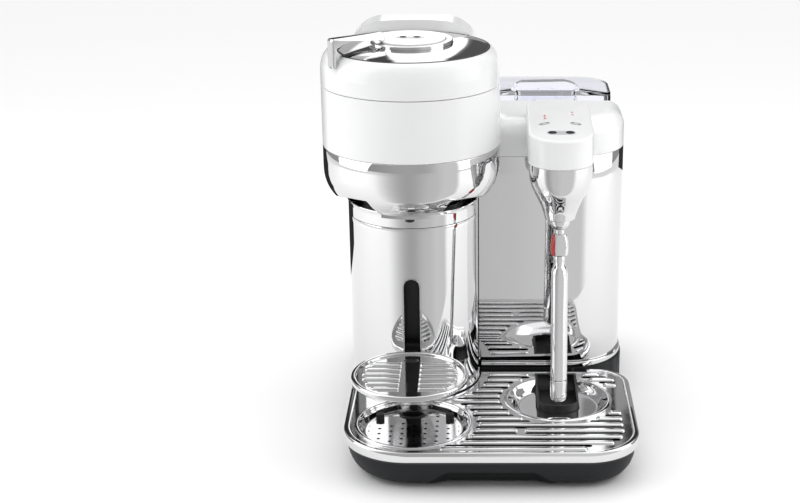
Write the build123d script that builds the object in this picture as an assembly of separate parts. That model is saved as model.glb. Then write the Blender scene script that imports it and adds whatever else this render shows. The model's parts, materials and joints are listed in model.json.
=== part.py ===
import os
from math import cos, radians, sin, sqrt

from build123d import *

os.makedirs("parts", exist_ok=True)

# overall sizes, mm
overall_width = 304.6
overall_depth = 387.0
front_reach = 187.0          # tray front to column centre
gap = 0.3                    # between neighbouring pieces
run_gap = 0.05               # radial running fit
slide_gap = 0.8              # around drawers and the tray

# heights
foot_height = 3.0
base_top = 42.0
rim_low = 31.5
plate_low = 38.5
plate_top = 41.0
column_top = 219.0
collar_top = 232.5
band_low = 292.0
seam_height = 351.5
shoulder_height = 385.0
dial_low = 390.6
dial_top = 394.0
tower_seam = 268.5
tower_top = 306.0
cap_low = 284.3
tank_top = 306.0

# column and head
column_radius = 64.2
foot_flare = 2.0
head_radius = 86.0
head_forward = 13.0
wall = 2.5
chrome_wall = 1.5
slot_width = 15.5
slot_top = 167.0
column_x = head_radius - overall_width / 2
column_y = front_reach - overall_depth / 2
head_x = column_x
head_y = column_y - head_forward
column_front = column_y - column_radius

# tray outline
tray_left = column_x - column_radius - 0.3
tray_right = overall_width / 2
tray_front = -overall_depth / 2
tower_front = column_y + 14.0
tray_rear = tower_front - 3.5
tray_horn = column_y - 40.0
tray_corner_left = 64.0
tray_corner_right = 52.0
tray_corner_rear = 34.0
tray_relief = column_radius + foot_flare + 0.6
rib_pitch = 13.2
rib_slot = 5.4
coffee_dish_x = column_x + 3.0
coffee_dish_y = column_y - 120.0
coffee_dish_radius = 54.0
dish_floor = 33.0
hole_pitch = 11.0
hole_radius = 1.6
milk_dish_x = tray_right - 75.0
milk_dish_y = column_y - 64.0
milk_dish_radius = 51.4
milk_floor_radius = 41.0
purge_width = 42.0
notch_height = 19.5

# cup support
support_radius = 56.0
support_top = 93.5
support_y = column_front - support_radius - 0.6
support_x = column_x

# tower and steam head
tower_right = tray_right - 5.6
tower_left = column_x + 60.0
tower_depth = 100.0
tower_corner = 55.0
tower_rear = tower_front + tower_depth
steam_x = tray_right - 75.6
steam_y = column_y - 59.0
cap_radius = 31.0
cap_slope = 3.75
cap_height = 314.0
ball_radius = 10.0
ball_height = 226.0
wand_lean = 10.0
wand_radius = 8.15
wand_length = 178.5

# rear body, bin and tank
rear_left = column_x - 60.0
rear_right = column_x + 59.2
rear_body_rear = column_y + 160.0
rear_body_top = 300.0
rear_cover_top = 324.0
hinge_y = head_y + head_radius + 12.0
hinge_z = seam_height - 6.5
tank_left = rear_right + 8.8
tank_right = tower_right - 10.0
tank_front = tower_rear + 2.0
tank_rear = overall_depth / 2 - 3.5
tank_low = base_top + 3.0
tank_wall = 2.5
tank_cap_radius = 34.5


def save(shape, name):
    export_step(shape, f"parts/{name}.step")


def rectangle(x0, x1, y0, y1):
    return Pos((x0 + x1) / 2, (y0 + y1) / 2) * Rectangle(x1 - x0, y1 - y0)


def disc(x, y, radius):
    return Pos(x, y) * Circle(radius)


def prism(face, low, high):
    return Pos(0, 0, low) * extrude(face, high - low)


def rod(x, y, radius, low, high):
    return prism(disc(x, y, radius), low, high)


def pipe(x, y, outer, inner, low, high):
    return prism(disc(x, y, outer) - disc(x, y, inner), low, high)


def block(x0, x1, y0, y1, low, high):
    return prism(rectangle(x0, x1, y0, y1), low, high)


def cross_rod(y, z, radius, x0, x1):
    face = Plane(origin=(x0, y, z), z_dir=(1, 0, 0)) * Circle(radius)
    return extrude(face, x1 - x0)


def plan(corners):
    face = make_face(Polyline(*[(x, y) for x, y, radius in corners], close=True))
    for x, y, radius in corners:
        if radius > 0:
            corner = face.vertices().sort_by_distance(Vector(x, y, 0))[0]
            face = fillet(corner, radius)
    return face


def turned(points, x, y):
    # closed outline of (radius, height) points turned about a vertical line
    face = Plane.XZ * make_face(Polyline(*points, close=True))
    return Pos(x, y, 0) * revolve(face, Axis.Z)


def turned_curve(lines, x, y):
    return Pos(x, y, 0) * revolve(Plane.XZ * make_face(lines), Axis.Z)


def side_prism(points, y0, y1):
    # outline in x and z, pushed along y
    face = Plane(origin=(0, y0, 0), x_dir=(1, 0, 0), z_dir=(0, -1, 0)) * make_face(
        Polyline(*points, close=True))
    return extrude(face, -(y1 - y0))


# ---------- drip tray ----------
def tray_box(inset):
    left, right = tray_left + inset, tray_right - inset
    front, rear = tray_front + inset, tray_rear - inset
    return plan([
        (left, front, tray_corner_left - inset),
        (right, front, tray_corner_right - inset),
        (right, rear, tray_corner_rear - inset),
        (left, rear, 0),
    ])


def relief(extra):
    reach = tray_relief + extra
    face = disc(column_x, column_y, reach)
    face += rectangle(tray_left - 9, column_x, tray_horn - extra, tray_rear + 9)
    face += rectangle(column_x, column_x + reach, column_y, tray_rear + 9)
    return face


def tray_plan(inset, beside_column=0.0):
    return tray_box(inset) - relief(beside_column)


tray_middle = (tray_left + tray_right) / 2


def notch(grow):
    half_low, half_high, top = 63.5 + grow, 40.0 + grow, notch_height + grow
    return side_prism([
        (tray_middle - half_low, foot_height - 1), (tray_middle - half_high, top),
        (tray_middle + half_high, top), (tray_middle + half_low, foot_height - 1),
    ], tray_front - 1, tray_front + 20 + grow)


taper_top = 20.0
pan_low = foot_height + gap
pan_top = rim_low - gap
pan_body = loft([Pos(0, 0, pan_low) * tray_box(13), Pos(0, 0, taper_top) * tray_box(4)])
pan_body += prism(tray_box(4), taper_top, pan_top)
pan_body -= prism(relief(0), pan_low - 1, pan_top + 1)
pan_room = prism(tray_plan(16.5, 3), 8, taper_top + 1)
pan_room += prism(tray_plan(8, 3), taper_top, pan_top + 1)
drip_pan = pan_body - (pan_room - notch(2.5)) - notch(0)
save(drip_pan, "drip_pan")

rim_width, rim_lip = 7.0, 10.0
tray_rim = prism(tray_box(0) - tray_box(rim_width), rim_low, base_top)
tray_rim = fillet(tray_rim.edges().group_by(Axis.Z)[-1], 2.0)
tray_rim += prism(tray_box(rim_width) - tray_box(rim_lip), rim_low, plate_low - gap)
save(tray_rim - prism(relief(0), rim_low - 1, base_top + 1), "tray_rim")

dish_front = tray_front + 12.5


def coffee_plan(inset):
    face = disc(coffee_dish_x, coffee_dish_y, coffee_dish_radius - inset)
    face -= rectangle(tray_left, tray_right, tray_front - 9, dish_front + inset)
    face -= disc(column_x, column_y, tray_relief + 2.5 + inset)
    return face & tray_box(rim_lip + gap + inset)


def milk_plan(inset):
    return disc(milk_dish_x, milk_dish_y, milk_dish_radius - inset)


def purge_plan(inset):
    half = purge_width / 2 - inset
    face = rectangle(milk_dish_x - half, milk_dish_x + half, milk_dish_y - 2, tray_rear - 10.6 - inset)
    round_end = Pos(milk_dish_x, milk_dish_y - 2) * Ellipse(half, 14 - inset)
    return face + round_end


drip_plate = prism(tray_plan(rim_width + gap, 0.2), plate_low, plate_top)
drip_plate -= prism(coffee_plan(0) + milk_plan(0) + purge_plan(0), plate_low - 1, plate_top + 1)
row_count = int((tray_rear - 12 - (tray_front + 16)) / rib_pitch) + 1
keep_clear = coffee_plan(-6) + milk_plan(-6) + purge_plan(-5)
room = tray_plan(15, 8) - keep_clear
half_slot = rib_slot / 2
for row in range(row_count):
    row_y = tray_front + 18 + row * rib_pitch
    cells = [rectangle(tray_left, tray_right, row_y - half_slot, row_y + half_slot) & room]
    if row == 2:
        middle = milk_dish_x - 38
        cells[0] -= rectangle(middle - 4, middle + 4, row_y - 4, row_y + 4)
    for cell in cells[0].faces():
        low, high = cell.bounding_box().min, cell.bounding_box().max
        if high.Y - low.Y > rib_slot - 0.1 and high.X - low.X > 14 and low.X > column_x:
            start = min(edge.length for edge in cell.edges().filter_by(Axis.X)) / 2
            centre = (low.X + high.X) / 2
            length = 2 * start if 2 * start > 14 else high.X - low.X
            mid = cell.edges().filter_by(Axis.X).sort_by(Edge.length)[0].center()
            drip_plate -= prism(Pos(mid.X, row_y) * SlotOverall(length, rib_slot),
                                plate_low - 1, plate_top + 1)
save(drip_plate, "drip_plate")

coffee_dish = prism(coffee_plan(gap), dish_floor, plate_top)
coffee_dish -= prism(coffee_plan(gap + 1.5), dish_floor + 1.5, plate_top + 1)
keyhole_y = column_y - 88.0
holes = Sketch()
spots = []
for column in range(-4, 5):
    for row in range(-3, 4):
        offset = hole_pitch / 2 if column % 2 else 0.0
        x = coffee_dish_x + column * hole_pitch
        y = coffee_dish_y - 4 + row * hole_pitch + offset
        far = sqrt((x - coffee_dish_x) ** 2 + (y - coffee_dish_y) ** 2)
        from_key = max(abs(x - column_x) / 20, abs(y - keyhole_y) / 16)
        from_column = sqrt((x - column_x) ** 2 + (y - column_y) ** 2) - tray_relief
        if far < coffee_dish_radius - 7 and y > dish_front + 6 and from_key > 1 and from_column > 11:
            spots.append((x, y))
coffee_dish -= prism(Sketch() + [disc(x, y, hole_radius) for x, y in spots], dish_floor - 1, dish_floor + 3)
coffee_dish -= prism(Pos(column_x, keyhole_y) * Ellipse(13, 8), dish_floor - 1, dish_floor + 3)
save(coffee_dish, "coffee_dish")

pads = Sketch()
for side in (-1, 1):
    pads += Pos(coffee_dish_x + side * 34, coffee_dish_y + 25) * RectangleRounded(8, 6, 1.5)
save(prism(pads, dish_floor + 1.5 + 0.05, dish_floor + 6.5), "dish_pads")

key_boss = prism(Pos(column_x, keyhole_y) * (Ellipse(12.6, 7.6) - Ellipse(10.5, 5.5)),
                 dish_floor - 6, dish_floor + 2.5)
save(key_boss, "keyhole_liner")

milk_shell = turned([
    (0, dish_floor - 2), (milk_floor_radius, dish_floor - 2),
    (milk_dish_radius - gap, plate_top - 1.5), (milk_dish_radius - gap, plate_top + 0.8),
    (milk_dish_radius - 3.2, plate_top + 0.8), (milk_dish_radius - 3.2, plate_top - 0.4),
    (milk_floor_radius - 1.2, dish_floor - 0.5), (0, dish_floor - 0.5),
], milk_dish_x, milk_dish_y)
drain = Pos(milk_dish_x, milk_dish_y - milk_floor_radius + 7) * SlotOverall(24, 8)
milk_shell -= prism(drain, dish_floor - 3, dish_floor + 2)
milk_shell -= prism(purge_plan(-gap), dish_floor - 3, plate_top + 2)
save(milk_shell, "milk_dish")

purge_low = taper_top + 1.5
purge_well = prism(purge_plan(gap), purge_low, plate_top - 0.4)
purge_well -= prism(purge_plan(gap + 2), purge_low + 2, plate_top + 1)
save(purge_well, "purge_well")

tray_feet = Sketch()
for x, y in ((tray_left + 45, tray_front + 42), (tray_right - 45, tray_front + 42),
             (tray_right - 45, tray_rear - 32), (tray_middle - 40, tray_rear - 95)):
    tray_feet += disc(x, y, 8)
save(prism(tray_feet, 0, pan_low), "tray_feet")

# ---------- base under the column, tower and tank ----------
base_rear = overall_depth / 2
base_left = rear_left
base_right = tower_right + 2.5
base_front = tray_rear + slide_gap


def base_plan(inset):
    face = plan([
        (base_left + inset, column_y + inset, 0),
        (column_x, column_y + inset, 0),
        (column_x, base_front + inset, 0),
        (base_right - inset, base_front + inset, tower_corner - inset),
        (base_right - inset, base_rear - inset, 45 - inset),
        (base_left + inset, base_rear - inset, 45 - inset),
    ])
    return face + disc(column_x, column_y, column_radius + foot_flare - inset)


inlet_x, inlet_z = column_x + 6.0, 22.0
base_housing = prism(base_plan(0), pan_low, base_top) - prism(base_plan(3), pan_low + 2.5, base_top - 3)
inlet_hole = block(inlet_x - 15.3, inlet_x + 15.3, base_rear - 9, base_rear + 1, inlet_z - 11.3, inlet_z + 11.3)
save(base_housing - inlet_hole, "base_housing")

base_feet = Sketch()
for x in (base_left + 32, base_right - 32):
    for y in (column_y + 45, base_rear - 32):
        base_feet += disc(x, y, 9)
save(prism(base_feet, 0, pan_low - 0.05), "base_feet")

inlet = block(inlet_x - 15, inlet_x + 15, base_rear - 20, base_rear - 0.2, inlet_z - 11, inlet_z + 11)
inlet -= block(inlet_x - 12.5, inlet_x + 12.5, base_rear - 16, base_rear + 1, inlet_z - 8.5, inlet_z + 8.5)
for offset in (-7, 0, 7):
    inlet += block(inlet_x + offset - 1, inlet_x + offset + 1, base_rear - 17, base_rear - 5,
                   inlet_z - 2.5, inlet_z + 2.5)
save(inlet, "power_inlet")

# ---------- column ----------
slot_face = rectangle(column_x - slot_width / 2, column_x + slot_width / 2, column_front - 5, column_y - 40)
slot_round = Plane(origin=(column_x, column_front - 5, slot_top - slot_width / 2),
                   x_dir=(1, 0, 0), z_dir=(0, -1, 0)) * Circle(slot_width / 2)
slot_cut = prism(slot_face, base_top - 1, slot_top - slot_width / 2)
slot_cut += extrude(slot_round, -30)
column_shell = pipe(column_x, column_y, column_radius, column_radius - chrome_wall, base_top + 6.3, column_top)
save(column_shell - slot_cut, "column_shell")

flare = turned([
    (column_radius - chrome_wall, base_top + gap), (column_radius + foot_flare, base_top + gap),
    (column_radius + foot_flare, base_top + 2), (column_radius, base_top + 6),
    (column_radius - chrome_wall, base_top + 6),
], column_x, column_y)
column_foot = flare - slot_cut

rail_front = column_front + 4.6
slot_rail = block(column_x - 17, column_x + 17, rail_front, rail_front + 18, base_top + gap, slot_top + 6)
slot_rail -= block(column_x - 12.3, column_x + 12.3, rail_front + 2.5, rail_front + 14.5,
                   base_top + 3, slot_top + 3)
slot_rail -= slot_cut & block(column_x - 9, column_x + 9, rail_front - 5, rail_front + 3, base_top + 3, slot_top)
save(slot_rail, "slot_rail")

collar = pipe(column_x, column_y, column_radius, column_radius - chrome_wall, column_top + gap, collar_top)
save(collar, "collar_ring")

# ---------- cup support ----------
rim_low_z = support_top - 6.0
outer, inner = support_radius, support_radius - 5.0
support_rim = pipe(support_x, support_y, outer, inner, rim_low_z, support_top)
support_rim = fillet(support_rim.edges(), 1.8)
save(support_rim, "support_rim")

support_plate = rod(support_x, support_y, inner - 0.05, support_top - 4.2, support_top - 2.4)
slot_pitch = 11.0
for row in range(-3, 4):
    y = row * slot_pitch - 3
    reach = sqrt((inner - 5) ** 2 - y ** 2) if abs(y) < inner - 5 else 0
    length = reach - 8.5
    if length > 8:
        for side in (-1, 1):
            centre = support_x + side * (8.5 + length / 2)
            support_plate -= prism(Pos(centre, support_y + y) * SlotOverall(length, 4.2),
                                   support_top - 6, support_top)
eyelet = Pos(support_x, support_y + 36) * SlotOverall(15, 8)
support_plate -= prism(eyelet, support_top - 6, support_top)
save(support_plate, "support_plate")

carriage = block(support_x - 12.2, support_x + 12.2, rail_front + 2.6, rail_front + 14.4,
                 support_top - 22, support_top + 4)
carriage += block(support_x - 6, support_x + 6, column_front - 0.5, rail_front + 4,
                  rim_low_z + 1, support_top - 1)
carriage += rod(support_x, support_y, 6, rim_low_z, support_top - 4.5)
carriage += block(support_x - 6, support_x + 6, support_y, support_y + inner - 0.6, rim_low_z + 0.4,
                  support_top - 4.5)
carriage += block(support_x - 6, support_x + 6, column_front - 6.5, column_front + 1, rim_low_z - 4,
                  rim_low_z - gap)
carriage += block(support_x - 6, support_x + 6, column_front - 0.4, column_front + 3, rim_low_z - 4,
                  support_top - 1)
bracket_front = support_y + inner - 0.6
carriage += block(support_x - 6, support_x + 6, bracket_front - 3, column_front + 1, rim_low_z - 4,
                  rim_low_z - gap)
carriage += block(support_x - 6, support_x + 6, bracket_front - 3, bracket_front, rim_low_z - 4,
                  rim_low_z + 1)
save(carriage, "support_carriage")

# ---------- head ----------
bowl_foot = collar_top + 3.8


def bowl_line(inset):
    foot_radius = column_radius + 0.8
    start = (foot_radius - inset, bowl_foot)
    middle = (foot_radius + 0.648 * (head_radius - foot_radius) - inset, bowl_foot + 10.2)
    end = (head_radius - inset, bowl_foot + 25.7)
    return start, middle, end


outer_line, inner_line = bowl_line(0), bowl_line(2.0)
bowl_edges = [
    ThreePointArc(*outer_line),
    Line(outer_line[2], (head_radius, band_low)),
    Line((head_radius, band_low), (head_radius - 2.0, band_low)),
    Line((head_radius - 2.0, band_low), inner_line[2]),
    ThreePointArc(inner_line[2], inner_line[1], inner_line[0]),
    Line(inner_line[0], outer_line[0]),
]
save(turned_curve(bowl_edges, head_x, head_y), "head_bowl")

floor_radius = column_radius - 1.6
bowl_underside = rod(head_x, head_y, floor_radius, collar_top + gap, bowl_foot - gap)

neck_top = bowl_foot - gap
neck_width = 27.0
neck_depth = 24.0
neck_front = head_y - column_radius - 3.0
neck_rear = neck_front + neck_depth
neck = turned([
    (0, collar_top + gap), (column_radius + 1.0, collar_top + gap), (column_radius + 0.4, neck_top), (0, neck_top),
], head_x, head_y)
neck &= block(head_x - neck_width, head_x + neck_width, neck_front, neck_rear, column_top, band_low)
outlet_radius = 4.5
outlet_bore = 3.5
outlet_y = (neck_front + column_front - gap) / 2
neck -= rod(head_x, outlet_y, outlet_radius + run_gap, column_top - 1, band_low)
save(neck, "spout_neck")
bowl_underside -= block(head_x - neck_width - gap, head_x + neck_width + gap, neck_front - 1,
                        neck_rear + gap, column_top, band_low)
save(bowl_underside, "bowl_underside")
save(pipe(head_x, outlet_y, outlet_radius, outlet_bore, collar_top - 3.0, neck_top), "coffee_outlet")

band_inner = head_radius - 3.0
save(pipe(head_x, head_y, head_radius, band_inner, band_low + gap, seam_height - gap), "head_band")

deck_low, deck_top = seam_height - 13.5, seam_height - 5.5
holder_outer, holder_inner = 36.0, 33.0
deck = pipe(head_x, head_y, band_inner - gap, holder_outer + 1.5, deck_low, deck_top)

chamber_floor = band_low + 5.0
shaft_radius = 5.0
chamber = rod(head_x, head_y, 52, chamber_floor, deck_low - gap)
chamber -= rod(head_x, head_y, holder_outer + 2.5, chamber_floor + 3, deck_top)
chamber -= rod(head_x, head_y, shaft_radius + 0.6, chamber_floor - 1, chamber_floor + 4)
chamber += deck
chamber += pipe(head_x, head_y, 52, holder_outer + 2.5, deck_low - 1, deck_low + 1)
save(chamber, "brew_chamber")

holder_low, holder_top = chamber_floor + 5, deck_top - 2.5
holder = rod(head_x, head_y, holder_outer, holder_low, holder_top)
holder -= rod(head_x, head_y, holder_inner, holder_low + 3, holder_top + 1)
for turn in range(6):
    angle = radians(60 * turn)
    x, y = head_x + (holder_inner + 0.5) * cos(angle), head_y + (holder_inner + 0.5) * sin(angle)
    holder -= rod(x, y, 1.2, holder_low + 8, holder_top + 1)
holder += rod(head_x, head_y, shaft_radius, chamber_floor - 14, holder_low + 1)
save(holder, "capsule_holder")

motor_low = bowl_foot + 6
motor = rod(head_x, head_y, 28, motor_low, chamber_floor - 3)
motor -= rod(head_x, head_y, shaft_radius + run_gap, chamber_floor - 15, chamber_floor)
save(motor, "spin_motor")

# ---------- lid ----------
lid_low = seam_height + gap
lid_inner = head_radius - 3.0
shoulder_start = seam_height + 14.5
lip_radius = head_radius - 10.0
lid_edges = [
    Line((head_radius, lid_low), (head_radius, shoulder_start)),
    ThreePointArc((head_radius, shoulder_start), (head_radius - 2.6, shoulder_height - 7.6),
                  (lip_radius, shoulder_height)),
    Line((lip_radius, shoulder_height), (lip_radius - 3.0, shoulder_height - 2.0)),
    Line((lip_radius - 3.0, shoulder_height - 2.0), (lid_inner, shoulder_start - 2)),
    Line((lid_inner, shoulder_start - 2), (lid_inner, lid_low)),
    Line((lid_inner, lid_low), (head_radius, lid_low)),
]
lid_shell = turned_curve(lid_edges, head_x, head_y)
save(lid_shell, "lid_shell")

ring_outer, ring_inner = 41.0, 34.6
dial_radius = 34.0
dome_edge = lip_radius - 0.5
dome_rise = dial_low - 1.2
dome_edges = [
    ThreePointArc((dome_edge, shoulder_height + gap), (58.0, shoulder_height + 3.4), (ring_outer + gap, dome_rise)),
    Line((ring_outer + gap, dome_rise), (ring_outer + gap, dome_rise - 2.0)),
    Line((ring_outer + gap, dome_rise - 2.0), (dome_edge - 3.5, shoulder_height - 1.4)),
    Line((dome_edge - 3.5, shoulder_height - 1.4), (dome_edge, shoulder_height + gap)),
]
dome = turned_curve(dome_edges, head_x, head_y)
save(dome, "lid_dome")

liner_low = seam_height - 3.5
liner = rod(head_x, head_y, lid_inner - 3, liner_low, liner_low + 3)
hub_hole = 20.0
liner += pipe(head_x, head_y, 25, hub_hole, liner_low, dial_low - 8)
save(liner, "lid_liner")

needle_plate = rod(head_x, head_y, holder_inner - 3, liner_low - 3.2, liner_low - gap)
for turn in range(3):
    angle = radians(120 * turn)
    needle = Pos(head_x + 18 * cos(angle), head_y + 18 * sin(angle), liner_low - 8.2) * Cone(
        0.4, 1.6, 6, align=(Align.CENTER, Align.CENTER, Align.MIN))
    needle_plate += needle
save(needle_plate, "needle_plate")

# lever ring turns in the lid, its blade lies over the dome
blade_angle = 180 + 37.0
blade_width = 9.4
ring = pipe(head_x, head_y, ring_outer, ring_inner, dial_low - 6, dial_top - 1.2)
ring += pipe(head_x, head_y, ring_outer, hub_hole - 3, dial_low - 7.8, dial_low - 5)
save(ring, "lever_ring")

blade_low = dial_top + 0.5
blade_top = 403.0
blade_inner, blade_outer = 31.0, head_radius + 3.0
leg_length = 28.0
leg_inner = head_radius - 0.6
blade_points = [
    (blade_inner, blade_low), (lip_radius + 2, blade_low - 7.0), (leg_inner - 1, blade_top - leg_length + 9),
    (leg_inner, blade_top - leg_length), (blade_outer - 1.6, blade_top - leg_length),
    (blade_outer, blade_top - leg_length + 2), (blade_outer, blade_top), (blade_inner, blade_top),
]
post_points = [
    (ring_inner + 1.0, dial_top - 1.1), (ring_outer - 1.0, dial_top - 1.1),
    (ring_outer - 1.0, blade_top - 4), (ring_inner + 1.0, blade_top - 4),
]
lever_place = Location((head_x, head_y, 0), (0, 0, blade_angle))


def blade_slab(points):
    face = Plane.XZ * make_face(Polyline(*points, close=True))
    return lever_place * extrude(face, blade_width / 2, both=True)


save(blade_slab(blade_points) + blade_slab(post_points), "lever_blade")

dial_button_x, dial_button_y = 13.0, 4.6
dial = rod(head_x, head_y, dial_radius, dial_low, dial_top)
dial = fillet(dial.edges().group_by(Axis.Z)[-1], 0.8)
dial += rod(head_x, head_y, hub_hole - 4, liner_low + 6, dial_low + 1)
pill = Pos(head_x, head_y) * SlotOverall(2 * dial_button_x + 0.8, 2 * dial_button_y + 0.8)
dial -= prism(pill, dial_low + 0.6, dial_top + 1)
save(dial, "dial_face")
key = Pos(head_x, head_y) * SlotOverall(2 * dial_button_x, 2 * dial_button_y)
save(prism(key, dial_low + 1.6, dial_top + 0.4), "brew_button")

# cowl behind the dome carries the hinge barrel
cowl_half = 62.0
cowl_top = shoulder_height + 11.5
cowl_rear = hinge_y + 13.0
cowl_face = Plane.XZ * make_face([
    Line((-cowl_half, lid_low), (cowl_half, lid_low)),
    Line((cowl_half, lid_low), (cowl_half, shoulder_height - 8)),
    ThreePointArc((cowl_half, shoulder_height - 8), (cowl_half - 14, cowl_top - 4.5), (cowl_half - 34, cowl_top)),
    Line((cowl_half - 34, cowl_top), (34 - cowl_half, cowl_top)),
    ThreePointArc((34 - cowl_half, cowl_top), (14 - cowl_half, cowl_top - 4.5), (-cowl_half, shoulder_height - 8)),
    Line((-cowl_half, shoulder_height - 8), (-cowl_half, lid_low)),
])
cowl = Pos(head_x, cowl_rear, 0) * extrude(cowl_face, cowl_rear - head_y - 30)
rear_edge = cowl.edges().group_by(Axis.Y)[-1].filter_by_position(Axis.Z, lid_low + 5, cowl_top + 5)
cowl = fillet(rear_edge, 9)
cowl -= rod(head_x, head_y, lip_radius + gap, lid_low - 1, cowl_top + 5)
lid_core = turned_curve([
    Line((0, lid_low - 1), (head_radius + gap, lid_low - 1)),
    Line((head_radius + gap, lid_low - 1), (head_radius + gap, shoulder_start)),
    ThreePointArc((head_radius + gap, shoulder_start), (head_radius - 2.3, shoulder_height - 7.3),
                  (lip_radius + gap, shoulder_height + gap)),
    Line((lip_radius + gap, shoulder_height + gap), (0, shoulder_height + gap)),
    Line((0, shoulder_height + gap), (0, lid_low - 1)),
], head_x, head_y)
cowl -= lid_core
barrel, pin_radius = 8.0, 3.0
lug_x, lug_half = 38.0, 6.0
knuckle = lug_x - lug_half - 0.6
cowl += cross_rod(hinge_y, hinge_z, barrel, head_x - knuckle, head_x + knuckle)
cowl += block(head_x - knuckle, head_x + knuckle, hinge_y - 5, hinge_y + barrel, hinge_z, lid_low + 4)
cowl -= cross_rod(hinge_y, hinge_z, pin_radius + run_gap, head_x - 70, head_x + 70)
for side in (-1, 1):
    x = head_x + side * lug_x
    cowl -= cross_rod(hinge_y, hinge_z, barrel + 0.8, x - lug_half - 0.6, x + lug_half + 0.6)
save(cowl, "hinge_cowl")
save(cross_rod(hinge_y, hinge_z, pin_radius, head_x - lug_x - lug_half, head_x + lug_x + lug_half), "hinge_pin")

# ---------- rear body with the used capsule bin ----------
body_front = column_y + 10.0


def rear_plan(inset):
    face = plan([
        (rear_left + inset, body_front, 0), (rear_right - inset, body_front, 0),
        (rear_right - inset, rear_body_rear - inset, 26 - inset),
        (rear_left + inset, rear_body_rear - inset, 26 - inset),
    ])
    return face - disc(column_x, column_y, column_radius + gap + foot_flare + inset)


bowl_clear = head_radius + 0.6
ledge = bowl_foot - 3
rear_shell = prism(rear_plan(0), base_top + gap, rear_body_top)
rear_shell -= rod(head_x, head_y, bowl_clear, ledge, rear_body_top + 1)
rear_room = prism(rear_plan(wall), base_top - 1, rear_body_top + 1)
rear_room -= rod(head_x, head_y, bowl_clear + wall, ledge - wall, rear_body_top + 2)
rear_shell -= rear_room
door_left, door_right = rear_left + 12, rear_right - 12
door_low, door_top = base_top + 14, 205.0
rear_shell -= block(door_left, door_right, rear_body_rear - 9, rear_body_rear + 1, door_low, door_top)
bin_front = column_y + column_radius + 8.0
rail_zone = rear_plan(wall - 0.5) & rectangle(rear_left, rear_right, bin_front, rear_body_rear)
rail_zone -= rectangle(rear_left + 26, rear_right - 26, bin_front - 1, rear_body_rear - wall)
rear_shell += prism(rail_zone, base_top + gap, door_low)
save(rear_shell, "rear_shell")

bin_left, bin_right = door_left + slide_gap, door_right - slide_gap
bin_low, bin_top = door_low + slide_gap, door_top - slide_gap
bin_body = block(bin_left, bin_right, bin_front, rear_body_rear, bin_low, bin_top)
bin_body -= block(bin_left + wall, bin_right - wall, bin_front + wall, rear_body_rear - 14,
                  bin_low + wall, bin_top + 1)
bin_body -= block((bin_left + bin_right) / 2 - 24, (bin_left + bin_right) / 2 + 24,
                  rear_body_rear - 11, rear_body_rear + 1, bin_top - 40, bin_top - 22)
save(bin_body, "capsule_bin")

cover_rise = rear_cover_top - rear_body_top - gap
cover_shape = rear_plan(0) - disc(head_x, head_y, bowl_clear)
cover = prism(cover_shape, rear_body_top + gap, rear_cover_top)
cover_top_edges = cover.edges().group_by(Axis.Z)[-1].filter_by_position(
    Axis.Y, head_y + head_radius + 8, rear_body_rear + 1)
cover = fillet(cover_top_edges.sort_by(Axis.Y)[-3:], 8)
for side in (-1, 1):
    x = head_x + side * lug_x
    lug = block(x - lug_half, x + lug_half, hinge_y - barrel, hinge_y + 4, rear_cover_top - 6, hinge_z)
    lug += cross_rod(hinge_y, hinge_z, barrel, x - lug_half, x + lug_half)
    lug -= rod(head_x, head_y, head_radius + gap, rear_cover_top - 9, seam_height + 9)
    cover += lug
cover -= cross_rod(hinge_y, hinge_z, pin_radius, head_x - 70, head_x + 70)
save(cover, "rear_cover")

# ---------- tower ----------
def tower_plan(inset):
    face = plan([
        (tower_left, tower_front + inset, 0),
        (tower_right - inset, tower_front + inset, tower_corner - inset),
        (tower_right - inset, tower_rear - inset, 12 - inset),
        (tower_left, tower_rear - inset, 0),
    ])
    face -= rectangle(tower_left - 9, rear_right + gap + inset, tower_front - 9, tower_rear + 9)
    return face - disc(column_x, column_y, column_radius + foot_flare + gap + inset)


tower_low = base_top + 6
tower_shell = prism(tower_plan(0), tower_low + gap, tower_seam) - prism(
    tower_plan(2), tower_low - 1, tower_seam + 1)
tower_shell -= rod(head_x, head_y, bowl_clear, ledge, tower_seam + 1)
save(tower_shell, "tower_shell")
tower_foot = prism(tower_plan(-1.6) - tower_plan(2), base_top + gap, tower_low)
tower_foot &= block(rear_right + gap, tower_right + 5, tower_front - 5, tower_rear, 0, 99)
tower_foot -= rod(column_x, column_y, column_radius + foot_flare + gap, 0, 99)
save(tower_foot + column_foot, "foot_trim")


def cap_plan(inset):
    face = disc(steam_x, steam_y, cap_radius - inset)
    arm_rear = tower_front + 14.0
    face += rectangle(steam_x - cap_radius + inset, steam_x + cap_radius - inset, steam_y, arm_rear)
    return face + Pos(steam_x, arm_rear) * Ellipse(cap_radius - inset, 16 - inset)


cover_low = tower_seam + gap
tower_cover = prism(tower_plan(0) - disc(head_x, head_y, bowl_clear), cover_low, tower_top)
right_edges = tower_cover.edges().group_by(Axis.Z)[-1].filter_by_position(
    Axis.X, tower_left + 40, tower_right + 1).sort_by(Axis.Y)
tower_cover = fillet(right_edges[:3], 15)
cover_room = prism(tower_plan(wall) - disc(head_x, head_y, bowl_clear + wall), cover_low - 1, tower_top - 16)
tower_cover -= cover_room
tower_cover -= prism(cap_plan(-gap), cover_low + 12, tower_top + 20)
save(tower_cover, "tower_cover")

# steam head cap: flat sloping top on a rounded plan
panel = Location((steam_x, steam_y, cap_height), (cap_slope, 0, 0))
cap = prism(cap_plan(0), cap_low, cap_height + 16)
above = panel * block(-90, 90, -90, 160, 0, 60)
cap -= above
cap = fillet(cap.faces().sort_by(Axis.Z)[-1].edges(), 2.5)


def panel_pin(face, low, high):
    return panel * prism(face, low, high)


def two_way(x, y, turn, length, width):
    return Pos(x, y) * Rot(0, 0, turn) * SlotOverall(length, width)


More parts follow.
